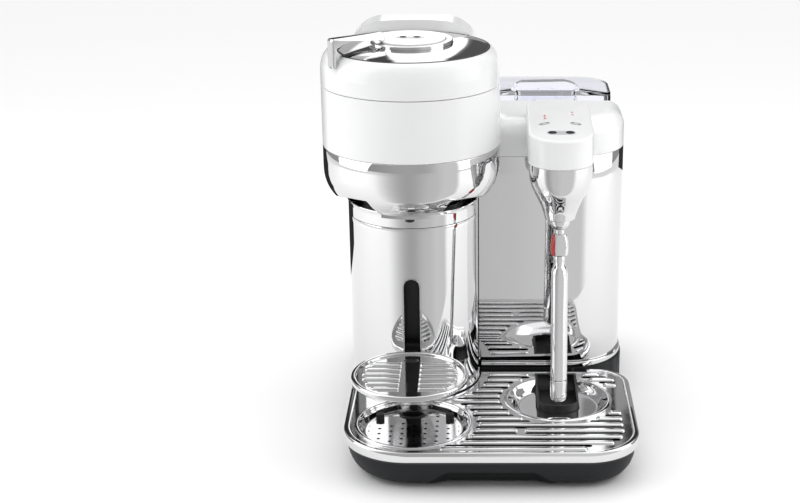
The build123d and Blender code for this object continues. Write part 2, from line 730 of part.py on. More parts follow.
key_places = {
    "left_button": (-15.0, 22.0, 35, 12.0, 6.0),
    "right_button": (15.0, 22.0, -35, 12.0, 6.0),
    "centre_button": (0.0, -5.0, 0, 27.0, 10.0),
}
button_depth = 5.0
for name, (x, y, turn, length, width) in key_places.items():
    cap -= panel_pin(two_way(x, y, turn, length + 0.8, width + 0.8), -button_depth - 1.5, 1)
    save(panel_pin(two_way(x, y, turn, length, width), -button_depth, 0.4), name)
light_faces = Sketch()
for x, y in ((-14, 38), (-14, 43), (-14, 48), (13, 50), (13, 58)):
    cap -= panel_pin(disc(x, y, 1.5), -4, 1)
    light_faces += disc(x, y, 1.2)
save(cap, "steam_cap")
save(panel_pin(light_faces, -3.6, 0.1), "status_lights")

socket_low = ball_height - 4.0
body_points = [
    (0, socket_low), (13.0, socket_low), (13.4, 232), (16.5, 238), (21.5, 248),
    (26.0, 259), (29.0, 270), (30.4, cap_low - gap), (0, cap_low - gap),
]
steam_body = turned(body_points, steam_x, steam_y)
steam_body += block(steam_x - 23, steam_x + 23, steam_y, tower_front - gap, tower_seam + 1.5, cap_low - gap)
steam_body -= Pos(steam_x, steam_y, ball_height) * Sphere(ball_radius + run_gap)
save(steam_body, "steam_body")

# ---------- wand, drawn upright then leaned ----------
wand_place = Location((steam_x, steam_y, ball_height), (-wand_lean, 0, 0))


def wand_turned(points):
    return wand_place * turned([(r, -s) for r, s in points], 0, 0)


ball = wand_place * (Sphere(ball_radius) + rod(0, 0, 4.5, -15.0, -5.0))
save(ball, "wand_ball")
grip = wand_place * prism(RectangleRounded(17, 15, 6), -34, -13)
grip -= wand_place * rod(0, 0, 4.55, -16, -12)
red_cut = wand_place * block(-20, -5.6, -20, 20, -40, 0)
save(grip - red_cut - wand_place * block(-5.7, -5.3, -20, 20, -40, 0), "wand_grip")
save(grip & (wand_place * block(-20, -5.7, -20, 20, -40, 0)), "grip_marker")
tip_start = wand_length - 22
tube = wand_turned([
    (3.5, 34.3), (5.4, 34.3), (5.4, 42), (wand_radius, 50), (wand_radius, tip_start),
    (wand_radius - 1.6, tip_start), (wand_radius - 1.6, 54), (3.5, 44),
])
save(tube, "wand_tube")
tip = wand_turned([
    (0, tip_start + 0.4), (wand_radius - 0.2, tip_start + 0.4), (wand_radius, tip_start + 2),
    (wand_radius, wand_length - 5), (wand_radius - 3, wand_length), (0, wand_length),
])
tip -= wand_place * rod(0, 0, 1.2, -wand_length - 1, -wand_length + 8)
save(tip, "wand_tip")

# ---------- water tank ----------
def tank_plan(inset):
    return plan([
        (tank_left + inset, tank_front + inset, 8 - inset / 2),
        (tank_right - inset, tank_front + inset, 8 - inset / 2),
        (tank_right - inset, tank_rear - inset, 34 - inset),
        (tank_left + inset, tank_rear - inset, 22 - inset),
    ])


tank_x = (tank_left + tank_right) / 2
tank_y = (tank_front + tank_rear) / 2
tank = prism(tank_plan(0), tank_low, tank_top) - prism(tank_plan(tank_wall), tank_low + 3, tank_top + 1)
valve_radius = 9.0
tank += rod(tank_x, tank_y, valve_radius, tank_low, tank_low + 14)
save(tank, "water_tank")

lid_thick = 3.0
tank_lid = prism(tank_plan(0), tank_top + gap, tank_top + gap + lid_thick)
tank_lid += prism(tank_plan(tank_wall + 0.8) - tank_plan(tank_wall + 2.8), tank_top - 4, tank_top + 1)
tank_lid -= rod(tank_x, tank_y, tank_cap_radius - 2.2, tank_top - 9, tank_top + 9)
tank_lid += pipe(tank_x, tank_y, tank_cap_radius, tank_cap_radius - 2.2, tank_top - 16, tank_top + lid_thick + gap)
tank_lid += rod(tank_x, tank_y, tank_cap_radius, tank_top - 18, tank_top - 16)
tank_lid = fillet(tank_lid.edges().group_by(Axis.Z)[-1].filter_by(Axis.Z, reverse=True).sort_by(
    SortBy.LENGTH)[-1], 1.2)
handle_arch = Plane(origin=(tank_x, tank_y + 3, tank_top - 15.7), x_dir=(1, 0, 0), z_dir=(0, -1, 0)) * (
    (Pos(0, 4.5) * Circle(14) - Pos(0, 4.5) * Circle(9.5)) & (Pos(0, 12) * Rectangle(40, 24)))
save(tank_lid + Pos(0, 0, -0.5) * extrude(handle_arch, 6), "tank_lid")

# ---------- working parts inside ----------
boiler_x, boiler_y = tower_right - 44, tower_front + 46
save(rod(boiler_x, boiler_y, 30, base_top + 14, base_top + 132), "steam_boiler")
heater_x = tower_left + 42
save(block(heater_x - 18, heater_x + 18, tower_front + 18, tower_front + 78, base_top + 96, base_top + 170),
     "thermoblock")
pump_y, pump_z = tower_front + 48, base_top + 40
pump = Plane(origin=(heater_x, pump_y - 42, pump_z), x_dir=(1, 0, 0), z_dir=(0, 1, 0)) * Circle(18)
save(extrude(pump, 84), "water_pump")
save(block(tower_left + 30, tower_right - 26, tower_rear - 8, tower_rear - 6.2, base_top + 110, tower_seam - 20),
     "control_board")
hose_bend = 14.0
hose_top = tower_seam + 8
steam_path = FilletPolyline(
    (boiler_x, boiler_y, base_top + 132.4), (boiler_x, boiler_y, hose_top),
    (steam_x, tower_front + 10, hose_top), (steam_x, tower_front + 3, hose_top), radius=5)
steam_hose = sweep(Plane(origin=steam_path @ 0, z_dir=steam_path % 0) * Circle(3), path=steam_path)
save(steam_hose, "steam_hose")
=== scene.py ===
import bmesh
import bpy
import json
import math
import numpy as np
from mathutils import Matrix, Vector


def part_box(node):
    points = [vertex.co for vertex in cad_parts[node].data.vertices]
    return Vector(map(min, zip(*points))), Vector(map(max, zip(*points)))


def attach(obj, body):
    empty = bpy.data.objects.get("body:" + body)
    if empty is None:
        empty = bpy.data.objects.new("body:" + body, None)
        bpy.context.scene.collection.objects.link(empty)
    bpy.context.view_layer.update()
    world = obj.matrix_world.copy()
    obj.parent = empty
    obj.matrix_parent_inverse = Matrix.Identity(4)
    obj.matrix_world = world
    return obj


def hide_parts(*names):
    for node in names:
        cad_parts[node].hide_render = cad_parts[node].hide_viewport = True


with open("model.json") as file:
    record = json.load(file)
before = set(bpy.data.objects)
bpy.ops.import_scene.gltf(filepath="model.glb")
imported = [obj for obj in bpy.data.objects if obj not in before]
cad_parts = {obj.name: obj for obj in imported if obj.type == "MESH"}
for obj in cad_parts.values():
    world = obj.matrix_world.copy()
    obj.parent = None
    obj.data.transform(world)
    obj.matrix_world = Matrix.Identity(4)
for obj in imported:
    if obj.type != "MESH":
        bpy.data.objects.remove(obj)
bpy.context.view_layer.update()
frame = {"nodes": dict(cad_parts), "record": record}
print("frame loaded")


def addNode(tree, kind, place, **values):
    # a shader node at a place in the editor, with its settings
    node = tree.nodes.new(kind)
    node.location = place
    for key, value in values.items():
        if hasattr(node, key):
            setattr(node, key, value)
    return node


def newGroup(name, inputs, outputs):
    # an empty node group with named sockets
    tree = bpy.data.node_groups.new(name, "ShaderNodeTree")
    for label, kind, default in inputs:
        socket = tree.interface.new_socket(name=label, in_out="INPUT", socket_type=kind)
        if default is not None:
            socket.default_value = default
    for label, kind in outputs:
        tree.interface.new_socket(name=label, in_out="OUTPUT", socket_type=kind)
    return tree, addNode(tree, "NodeGroupInput", (-900, 0)), addNode(tree, "NodeGroupOutput", (700, 0))


# polish marks: fine drawn noise and slow waves give a varying roughness and a normal
def makePolishGroup():
    tree, start, end = newGroup("polishMarks", [
        ("Low Roughness", "NodeSocketFloat", 0.03), ("High Roughness", "NodeSocketFloat", 0.08),
        ("Mark Scale", "NodeSocketFloat", 60.0), ("Wave Depth", "NodeSocketFloat", 0.00002),
    ], [("Roughness", "NodeSocketFloat"), ("Normal", "NodeSocketVector")])
    link = tree.links.new
    coords = addNode(tree, "ShaderNodeTexCoord", (-900, -260))
    smudge = addNode(tree, "ShaderNodeTexNoise", (-640, 120))
    smudge.inputs["Detail"].default_value = 5.0
    link(coords.outputs["Object"], smudge.inputs["Vector"])
    link(start.outputs["Mark Scale"], smudge.inputs["Scale"])
    spread = addNode(tree, "ShaderNodeMapRange", (-380, 120))
    spread.inputs["From Min"].default_value = 0.35
    spread.inputs["From Max"].default_value = 0.7
    link(smudge.outputs["Fac"], spread.inputs["Value"])
    link(start.outputs["Low Roughness"], spread.inputs["To Min"])
    link(start.outputs["High Roughness"], spread.inputs["To Max"])
    link(spread.outputs["Result"], end.inputs["Roughness"])
    wave = addNode(tree, "ShaderNodeTexNoise", (-640, -260))
    wave.inputs["Scale"].default_value = 9.0
    wave.inputs["Detail"].default_value = 1.0
    link(coords.outputs["Object"], wave.inputs["Vector"])
    bump = addNode(tree, "ShaderNodeBump", (200, -200))
    bump.inputs["Strength"].default_value = 1.0
    link(start.outputs["Wave Depth"], bump.inputs["Distance"])
    link(wave.outputs["Fac"], bump.inputs["Height"])
    link(bump.outputs["Normal"], end.inputs["Normal"])
    return tree


# moulded skin: two noises, a grain height and a slow mottle of the colour
def makeSkinGroup():
    tree, start, end = newGroup("mouldedSkin", [
        ("Dark Color", "NodeSocketColor", (0.8, 0.8, 0.8, 1)),
                                                ("Light Color", "NodeSocketColor", (0.9, 0.9, 0.9, 1)),
        ("Low Roughness", "NodeSocketFloat", 0.2), ("High Roughness", "NodeSocketFloat", 0.3),
        ("Grain Scale", "NodeSocketFloat", 900.0), ("Grain Depth", "NodeSocketFloat", 0.00001),
    ], [("Color", "NodeSocketColor"), ("Roughness", "NodeSocketFloat"), ("Normal", "NodeSocketVector")])
    link = tree.links.new
    coords = addNode(tree, "ShaderNodeTexCoord", (-900, -260))
    mottle = addNode(tree, "ShaderNodeTexNoise", (-640, 200))
    mottle.inputs["Scale"].default_value = 22.0
    mottle.inputs["Detail"].default_value = 3.0
    link(coords.outputs["Object"], mottle.inputs["Vector"])
    blend = addNode(tree, "ShaderNodeMix", (-300, 260), data_type="RGBA")
    link(mottle.outputs["Fac"], blend.inputs["Factor"])
    link(start.outputs["Dark Color"], blend.inputs[6])
    link(start.outputs["Light Color"], blend.inputs[7])
    link(blend.outputs[2], end.inputs["Color"])
    spread = addNode(tree, "ShaderNodeMapRange", (-300, 0))
    link(mottle.outputs["Fac"], spread.inputs["Value"])
    link(start.outputs["Low Roughness"], spread.inputs["To Min"])
    link(start.outputs["High Roughness"], spread.inputs["To Max"])
    link(spread.outputs["Result"], end.inputs["Roughness"])
    grain = addNode(tree, "ShaderNodeTexNoise", (-640, -300))
    grain.inputs["Detail"].default_value = 2.0
    link(coords.outputs["Object"], grain.inputs["Vector"])
    link(start.outputs["Grain Scale"], grain.inputs["Scale"])
    bump = addNode(tree, "ShaderNodeBump", (200, -200))
    link(start.outputs["Grain Depth"], bump.inputs["Distance"])
    link(grain.outputs["Fac"], bump.inputs["Height"])
    link(bump.outputs["Normal"], end.inputs["Normal"])
    return tree


polishGroup = makePolishGroup()
skinGroup = makeSkinGroup()


def startMaterial(name):
    # a new material with its tree and shader
    material = bpy.data.materials.new(name)
    material.use_nodes = True
    tree = material.node_tree
    shader = tree.nodes["Principled BSDF"]
    return material, tree, shader


def metalMaterial(name, color, low, high, scale=60.0, wave=0.00002):
    # bare metal: polish marks drive roughness and normal
    material, tree, shader = startMaterial(name)
    shader.inputs["Base Color"].default_value = (*color, 1)
    shader.inputs["Metallic"].default_value = 1.0
    marks = addNode(tree, "ShaderNodeGroup", (-300, 0), node_tree=polishGroup)
    for label, value in (("Low Roughness", low), ("High Roughness", high), ("Mark Scale", scale),
                         ("Wave Depth", wave)):
        marks.inputs[label].default_value = value
    tree.links.new(marks.outputs["Roughness"], shader.inputs["Roughness"])
    tree.links.new(marks.outputs["Normal"], shader.inputs["Normal"])
    return material


def plasticMaterial(name, dark, light, low, high, grain=900.0, depth=0.00001, coat=0.0, specular=0.5):
    # moulded plastic: the skin group drives colour, roughness and normal
    material, tree, shader = startMaterial(name)
    shader.inputs["Coat Weight"].default_value = coat
    shader.inputs["Coat Roughness"].default_value = 0.06
    shader.inputs["Specular IOR Level"].default_value = specular
    skin = addNode(tree, "ShaderNodeGroup", (-300, 0), node_tree=skinGroup)
    skin.inputs["Dark Color"].default_value = (*dark, 1)
    skin.inputs["Light Color"].default_value = (*light, 1)
    for label, value in (("Low Roughness", low), ("High Roughness", high), ("Grain Scale", grain),
                         ("Grain Depth", depth)):
        skin.inputs[label].default_value = value
    tree.links.new(skin.outputs["Color"], shader.inputs["Base Color"])
    tree.links.new(skin.outputs["Roughness"], shader.inputs["Roughness"])
    tree.links.new(skin.outputs["Normal"], shader.inputs["Normal"])
    return material


def clearMaterial(name):
    # clear plastic of the tank
    material, tree, shader = startMaterial(name)
    shader.inputs["Base Color"].default_value = (0.945, 0.95, 0.985, 1)
    shader.inputs["Transmission Weight"].default_value = 1.0
    shader.inputs["IOR"].default_value = 1.08
    marks = addNode(tree, "ShaderNodeGroup", (-300, 0), node_tree=polishGroup)
    for label, value in (("Low Roughness", 0.0), ("High Roughness", 0.05), ("Mark Scale", 30.0),
                         ("Wave Depth", 0.00001)):
        marks.inputs[label].default_value = value
    tree.links.new(marks.outputs["Roughness"], shader.inputs["Roughness"])
    tree.links.new(marks.outputs["Normal"], shader.inputs["Normal"])
    return material


finishes = {
    "white_gloss": plasticMaterial("whiteGloss", (0.84, 0.843, 0.845), (0.87, 0.873, 0.875), 0.22, 0.30,
                                   700.0, 0.000004, 0.35),
    "polished_steel": metalMaterial("mirrorSteel", (0.73, 0.73, 0.735), 0.02, 0.05),
    "satin_steel": metalMaterial("trayPlateSteel", (0.70, 0.70, 0.705), 0.07, 0.14, 90.0),
    "dark_plastic": plasticMaterial("charcoalPlastic", (0.010, 0.011, 0.012), (0.014, 0.015, 0.017), 0.45,
                                    0.6, 1400.0, 0.00003, 0.0, 0.25),
    "black_plastic": plasticMaterial("blackPlastic", (0.006, 0.006, 0.006), (0.010, 0.010, 0.011), 0.3,
                                     0.42, 1400.0, 0.00002),
    "rubber": plasticMaterial("rubberPads", (0.010, 0.010, 0.010), (0.018, 0.018, 0.018), 0.6, 0.75,
                              1600.0, 0.00005),
    "clear_tank": clearMaterial("clearTank"),
    "red_marker": plasticMaterial("redMarker", (0.45, 0.010, 0.008), (0.55, 0.015, 0.012), 0.2, 0.3,
                                  900.0, 0.000005, 0.3),
    "circuit_board": plasticMaterial("boardGreen", (0.01, 0.07, 0.03), (0.02, 0.11, 0.05), 0.35, 0.5,
                                     500.0, 0.00002),
    "heater_aluminium": metalMaterial("castAluminium", (0.68, 0.68, 0.69), 0.35, 0.5, 200.0, 0.0001),
    "boiler_brass": metalMaterial("boilerBrass", (0.70, 0.52, 0.24), 0.25, 0.4, 120.0),
    "hose_silicone": plasticMaterial("hoseSilicone", (0.55, 0.55, 0.53), (0.65, 0.65, 0.62), 0.4, 0.5),
    "grey_plastic": plasticMaterial("greyKeys", (0.50, 0.51, 0.53), (0.56, 0.57, 0.59), 0.25, 0.35, 900.0,
                                    0.000005, 0.2),
    "red_light": plasticMaterial("lampLens", (0.55, 0.02, 0.015), (0.65, 0.03, 0.02), 0.15, 0.22, 900.0,
                                 0.000003, 0.4),
}
slotOf = {entry["node"]: entry["material_slot"] for entry in frame["record"]["subparts"]}
for nodeName, nodeObject in frame["nodes"].items():
    nodeObject.data.materials.clear()
    nodeObject.data.materials.append(finishes[slotOf[nodeName]])
print("finishes made")


# shapes are worked out in millimetres
def boxMm(node):
    low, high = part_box(node)
    return np.array(low) * 1000.0, np.array(high) * 1000.0


def roundPath(corners, closed=True, steps=12, support=0.5):
    # straight runs joined by round arcs; a corner is (x, y, radius), with a point just before and after
    # each arc
    track = []
    count = len(corners)
    for index, (x, y, radius) in enumerate(corners):
        corner = np.array([x, y], dtype=float)
        if radius <= 0 or (not closed and index in (0, count - 1)):
            track.append(corner[None])
            continue
        before = np.array(corners[index - 1][:2], dtype=float)
        after = np.array(corners[(index + 1) % count][:2], dtype=float)
        wayIn = (corner - before) / np.linalg.norm(corner - before)
        wayOut = (after - corner) / np.linalg.norm(after - corner)
        turn = math.atan2(wayIn[0] * wayOut[1] - wayIn[1] * wayOut[0], wayIn @ wayOut)
        reach = radius * math.tan(abs(turn) / 2)
        side = np.array([-wayIn[1], wayIn[0]]) * math.copysign(1.0, turn)
        centre = corner - wayIn * reach + side * radius
        spoke = -side * radius
        angles = np.linspace(0.0, turn, steps + 1)
        arc = np.column_stack([
            centre[0] + spoke[0] * np.cos(angles) - spoke[1] * np.sin(angles),
            centre[1] + spoke[0] * np.sin(angles) + spoke[1] * np.cos(angles)])
        track.append((corner - wayIn * (reach + support))[None])
        track.append(arc)
        track.append((corner + wayOut * (reach + support))[None])
    return np.vstack(track)


def insetCorners(corners, inset):
    # moves every side of a counter-clockwise outline inwards by the same amount
    moved = []
    for index, (x, y, radius) in enumerate(corners):
        here = np.array([x, y], dtype=float)
        wayIn = here - np.array(corners[index - 1][:2], dtype=float)
        wayOut = np.array(corners[(index + 1) % len(corners)][:2], dtype=float) - here
        wayIn /= np.linalg.norm(wayIn)
        wayOut /= np.linalg.norm(wayOut)
        normalIn = np.array([-wayIn[1], wayIn[0]])
        normalOut = np.array([-wayOut[1], wayOut[0]])
        place = here + (normalIn + normalOut) * inset / (1.0 + normalIn @ normalOut)
        outward = wayIn[0] * wayOut[1] - wayIn[1] * wayOut[0] < 0
        kept = radius + inset if outward else radius - inset
        moved.append((place[0], place[1], max(kept, 0.05) if radius > 0 else 0.0))
    return moved


def smoothCurve(points, perSpan=8):
    # Catmull-Rom curve through the points
    points = np.asarray(points, dtype=float)
    padded = np.vstack([2 * points[0] - points[1], points, 2 * points[-1] - points[-2]])
    a, b, c, d = padded[:-3, None], padded[1:-2, None], padded[2:-1, None], padded[3:, None]
    t = np.linspace(0.0, 1.0, perSpan, endpoint=False)[None, :, None]
    body = 0.5 * (2 * b + (c - a) * t + (2 * a - 5 * b + 4 * c - d) * t ** 2 + (3 * b - a - 3 * c + d) * t ** 3)
    return np.vstack([body.reshape(-1, points.shape[1]), points[-1:]])


def latheGrid(profile, centre, around=192, start=0.0, end=360.0):
    # (radius, height) pairs turned about an upright line; angles count from the front, towards +X
    profile = np.asarray(profile, dtype=float)
    full = abs(end - start) >= 359.99
    angles = np.radians(np.linspace(start, end, around, endpoint=not full))
    radius, height = profile[:, :1], profile[:, 1:]
    x = centre[0] + radius * np.sin(angles)[None]
    y = centre[1] - radius * np.cos(angles)[None]
    return np.stack([x, y, np.broadcast_to(height, x.shape)], axis=-1)


def sweepGrid(outline, profile):
    # an outline drawn at each (inset, height) of the profile
    return np.stack([np.column_stack([flat, np.full(len(flat), height)])
                     for flat, height in ((outline(inset), height) for inset, height in profile)])


def closeUp(grid, toFirst=True, toLast=True):
    # shrinks the end rows of a grid onto their middles, so that it closes
    rows = [grid]
    if toFirst:
        rows.insert(0, np.broadcast_to(grid[0].mean(axis=0), grid[:1].shape))
    if toLast:
        rows.append(np.broadcast_to(grid[-1].mean(axis=0), grid[-1:].shape))
    return np.vstack(rows)


def gridFaces(rows, columns, wrapRows, wrapColumns, offset):
    # each four neighbours of the grid make a face; wrapping joins the last row or column to the first
    rowIndex = np.arange(rows if wrapRows else rows - 1)[:, None]
    columnIndex = np.arange(columns if wrapColumns else columns - 1)[None]
    nextRow, nextColumn = (rowIndex + 1) % rows, (columnIndex + 1) % columns
    faces = np.stack([rowIndex * columns + columnIndex, rowIndex * columns + nextColumn,
                      nextRow * columns + nextColumn, nextRow * columns + columnIndex], axis=-1)
    return faces.reshape(-1, 4) + offset


def buildMesh(name, grids, sharpAngle, flatEnds=False):
    # the grids become one mesh, merged at seams and poles, with faces turned outwards
    mesh = bpy.data.meshes.new(name)
    allPoints, allFaces, ends, offset = [], [], [], 0
    for points, wrapRows, wrapColumns in grids:
        rows, columns = points.shape[:2]
        allPoints.append(points.reshape(-1, 3))
        allFaces.append(gridFaces(rows, columns, wrapRows, wrapColumns, offset))
        if flatEnds:
            ends += [list(range(offset, offset + columns)),
                     list(range(offset + (rows - 1) * columns, offset + rows * columns))]
        offset += rows * columns
    vertices = np.concatenate(allPoints) * 0.001
    mesh.from_pydata(vertices.tolist(), [], np.concatenate(allFaces).tolist() + ends)
    work = bmesh.new()
    work.from_mesh(mesh)
    bmesh.ops.remove_doubles(work, verts=work.verts, dist=2e-6)
    bmesh.ops.dissolve_degenerate(work, edges=work.edges, dist=1e-6)
    bmesh.ops.recalc_face_normals(work, faces=work.faces)
    work.to_mesh(mesh)
    work.free()
    mesh.polygons.foreach_set("use_smooth", np.ones(len(mesh.polygons), dtype=bool))
    mesh.set_sharp_from_angle(angle=math.radians(sharpAngle))
    return mesh


def makePiece(name, grids, finish, body, replaced=(), sharpAngle=34.0, flatEnds=False):
    # a finished piece on its body, in its slot, taking the place of plain nodes
    mesh = buildMesh(name, grids, sharpAngle, flatEnds)
    mesh.materials.append(finishes[finish])
    piece = bpy.data.objects.new(name, mesh)
    bpy.context.scene.collection.objects.link(piece)
    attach(piece, body)
    if replaced:
        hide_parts(*replaced)
    return piece


def smoothCopy(name, node, body, sharpAngle=28.0):
    # a merged copy of a plain node, with round faces shaded round and flat faces kept flat
    mesh = frame["nodes"][node].data.copy()
    mesh.name = name
    work = bmesh.new()
    work.from_mesh(mesh)
    bmesh.ops.remove_doubles(work, verts=work.verts, dist=2e-6)
    work.to_mesh(mesh)
    work.free()
    mesh.polygons.foreach_set("use_smooth", np.ones(len(mesh.polygons), dtype=bool))
    mesh.set_sharp_from_angle(angle=math.radians(sharpAngle))
    piece = bpy.data.objects.new(name, mesh)
    bpy.context.scene.collection.objects.link(piece)
    weighted = piece.modifiers.new("faceWeight", "WEIGHTED_NORMAL")
    weighted.keep_sharp = True
    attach(piece, body)
    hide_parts(node)
    return piece

columnLow, columnHigh = boxMm("column_shell")
columnX = (columnLow[0] + columnHigh[0]) / 2
columnY = (columnLow[1] + columnHigh[1]) / 2
columnRadius = (columnHigh[0] - columnLow[0]) / 2
headLow, headHigh = boxMm("head_band")
headX, headY = (headLow[0] + headHigh[0]) / 2, (headLow[1] + headHigh[1]) / 2
headRadius = (headHigh[0] - headLow[0]) / 2
column = {"wall": 1.5, "slotHalf": 7.75, "slotTop": 167.0, "around": 200, "archRows": 12}


def makeColumn():
    # side walls from one slot edge round the back to the other, and a patch over the slot whose lower
    # edge is the round slot top; both share the rows above the spring of the arch
    half = math.degrees(math.asin(column["slotHalf"] / columnRadius))
    spring = column["slotTop"] - column["slotHalf"]
    upper = np.linspace(spring, columnHigh[2], column["archRows"])
    levels = np.concatenate([[columnLow[2], columnLow[2] + 0.5],
                             np.linspace(columnLow[2] + 30, spring, 4), upper[1:]])
    side = latheGrid(np.column_stack([np.full(len(levels), columnRadius), levels]), (columnX, columnY),
                     column["around"], half, 360 - half)
    angles = np.radians(np.linspace(-half, half, 25))
    across = columnRadius * np.sin(angles)
    arch = spring + np.sqrt(np.maximum(column["slotHalf"] ** 2 - across ** 2, 0.0))
    share = np.linspace(0.0, 1.0, column["archRows"])[:, None]
    height = arch[None] + (columnHigh[2] - arch[None]) * share
    patch = np.stack([np.broadcast_to(columnX + across, height.shape),
                      np.broadcast_to(columnY - columnRadius * np.cos(angles), height.shape), height],
                     axis=-1)
    piece = makePiece("columnSkin", [(side, False, False), (patch, False, False)], "polished_steel",
                      "base", ["column_shell"])
    wall = piece.modifiers.new("wall", "SOLIDIFY")
    wall.thickness = column["wall"] * 0.001
    wall.offset = -1.0
    edge = piece.modifiers.new("edge", "BEVEL")
    edge.width = 0.0003
    edge.segments = 2
    edge.limit_method = "ANGLE"
    edge.angle_limit = math.radians(50)


def makeCollar():
    # a rounded section turned about the column
    collarLow, collarHigh = boxMm("collar_ring")
    low, top = collarLow[2], collarHigh[2] + 2.0
    profile = roundPath([
        (columnRadius - 11, low, 0), (columnRadius, low, 0.35), (columnRadius, top - 4.0, 6.0),
        (columnRadius + 1.0, top - 1.2, 1.0), (columnRadius + 0.5, top, 0.8), (columnRadius - 11, top, 0.3),
    ], steps=5, support=0.15)
    makePiece("collarSkin", [(latheGrid(profile, (columnX, columnY)), True, True)], "polished_steel",
              "base", ["collar_ring"])


bowl = {"wall": 2.2, "scoopRise": 17.5, "neckEdge": 22.0, "neckBlend": 7.5, "scoopEnd": 88.0, "lip": 1.0}


def makeBowl():
    # the outer line is turned about the head; its lower end rises beside the neck to leave two scoops
    bowlLow, bowlHigh = boxMm("head_bowl")
    foot, top = bowlLow[2] + 0.2, bowlHigh[2]
    # the curve eases into the upright wall, so that the mirror shows no crease there
    ease = min(36.0, top - foot - 13.0)
    line = smoothCurve([
        (headRadius - 20.8, foot), (headRadius - 13.4, foot + 4.4), (headRadius - 7.6, foot + 9.9),
        (headRadius - 3.7, foot + 16.2), (headRadius - 1.3, foot + 23.0), (headRadius - 0.25, foot + 29.5),
        (headRadius, foot + ease)], 30)
    front = np.concatenate([np.linspace(0, 18, 10), np.linspace(18, 34, 50)[1:], np.linspace(34, 92, 60)[1:],
                            np.linspace(92, 180, 50)[1:]])
    angles = np.concatenate([front, 360 - front[-2:0:-1]])
    away = np.minimum(angles, 360 - angles)
    rise = np.clip((away - bowl["neckEdge"]) / bowl["neckBlend"], 0, 1)
    rise = rise * rise * (3 - 2 * rise)
    peak = bowl["neckEdge"] + bowl["neckBlend"]
    fall = 1 - np.clip((away - peak) / (bowl["scoopEnd"] - peak), 0, 1) ** 2.0
    edge = foot + bowl["scoopRise"] * rise * fall
    order = np.argsort(line[:, 1])
    share = np.linspace(0, 1, 40)[:, None]
    height = (foot + ease) * (1 - share) + edge[None] * share
    radius = np.interp(height, line[order, 1], line[order, 0])
    wall, lip = bowl["wall"], bowl["lip"]
    radii = [np.full_like(angles, headRadius), np.full_like(angles, headRadius),
             np.full_like(angles, headRadius)]
    heights = [np.full_like(angles, top - 0.4), np.full_like(angles, top - 12),
               np.full_like(angles, foot + ease + 0.5)]
    for row in range(40):
        radii.append(radius[row])
        heights.append(height[row])
    for inward, down in ((0.35, 0.55), (0.9, 0.9), (1.6, 1.0), (2.3, 0.6)):
        radii.append(radius[-1] - inward * lip)
        heights.append(edge - down * lip)
    for row in range(39, -1, -3):
        radii.append(radius[row] - wall - 0.4)
        heights.append(height[row] + 0.6)
    radii += [np.full_like(angles, headRadius - wall), np.full_like(angles, headRadius - 0.4)]
    heights += [np.full_like(angles, top), np.full_like(angles, top)]
    radii, heights = np.stack(radii), np.stack(heights)
    turned = np.radians(angles)[None]
    grid = np.stack([headX + radii * np.sin(turned), headY - radii * np.cos(turned), heights], axis=-1)
    makePiece("bowlSkin", [(grid, True, True)], "polished_steel", "base", ["head_bowl"],
              50.0)
    # a black core fills the bowl under the scoops; its black is partly the core's own colour and partly painted
    # shade for the shadow in the gaps beside the neck
    core = [(0, foot + 24), (60, foot + 24), (56, foot + 10), (51, foot - 2.5), (0, foot - 2.5)]
    makePiece("bowlCore", [(latheGrid(core, (columnX, columnY - 1)), False, True)], "black_plastic",
              "base", ["bowl_underside"])


def makeHead():
    # band, lid, seal and dome are sections turned about the head
    lidLow, lidHigh = boxMm("lid_shell")
    domeLow, domeHigh = boxMm("lid_dome")
    band = roundPath([
        (headRadius - 3, headLow[2], 0), (headRadius, headLow[2], 0.5), (headRadius, headHigh[2], 0.5),
        (headRadius - 3, headHigh[2], 0)], steps=4, support=0.2)
    makePiece("bandSkin", [(latheGrid(band, (headX, headY)), True, True)], "white_gloss", "base",
              ["head_band"])
    shoulder = smoothCurve([
        (headRadius, lidLow[2] + 14), (headRadius - 0.5, lidLow[2] + 19),
                            (headRadius - 2.0, lidLow[2] + 24.6),
        (headRadius - 4.4, lidLow[2] + 28.9), (headRadius - 7.4, lidLow[2] + 32.0),
        (headRadius - 9.6, lidHigh[2])], 8)
    lid = np.vstack([
        [(headRadius - 3, lidLow[2]), (headRadius - 0.5, lidLow[2]), (headRadius - 0.1, lidLow[2] + 0.15),
         (headRadius, lidLow[2] + 0.5), (headRadius, lidLow[2] + 1.2), (headRadius, lidLow[2] + 13.0)],
        shoulder,
        [(headRadius - 10.2, lidHigh[2] - 0.1), (headRadius - 10.6, lidHigh[2] - 0.8),
         (headRadius - 12.5, lidHigh[2] - 2.4), (headRadius - 4, lidLow[2] + 13)]])
    makePiece("lidSkin", [(latheGrid(lid, (headX, headY)), True, True)], "white_gloss", "lid",
              ["lid_shell"], 40.0)
    domeRadius = (domeHigh[0] - domeLow[0]) / 2
    seal = [(domeRadius - 1.5, lidHigh[2] - 1.5), (domeRadius + 0.8, lidHigh[2] - 1.0),
            (domeRadius + 0.9, lidHigh[2] + 0.35), (domeRadius - 0.2, lidHigh[2] + 0.7),
            (domeRadius - 1.5, lidHigh[2] + 0.4)]
    makePiece("domeSeal", [(latheGrid(seal, (headX, headY)), True, True)], "black_plastic", "lid")
    topLine = smoothCurve([
        (domeRadius - 0.3, lidHigh[2] + 0.45), (68.0, lidHigh[2] + 1.9), (58.0, lidHigh[2] + 3.2),
        (48.0, lidHigh[2] + 4.0), (41.4, domeHigh[2])], 10)
    dome = np.vstack([topLine, [(41.4, domeHigh[2] - 2), (domeRadius - 3.0, lidHigh[2] - 1.4)]])
    makePiece("domeSkin", [(latheGrid(dome, (headX, headY)), True, True)], "polished_steel", "lid",
              ["lid_dome"])


lever = {"angle": 217.0, "width": 9.4, "edge": 1.3}


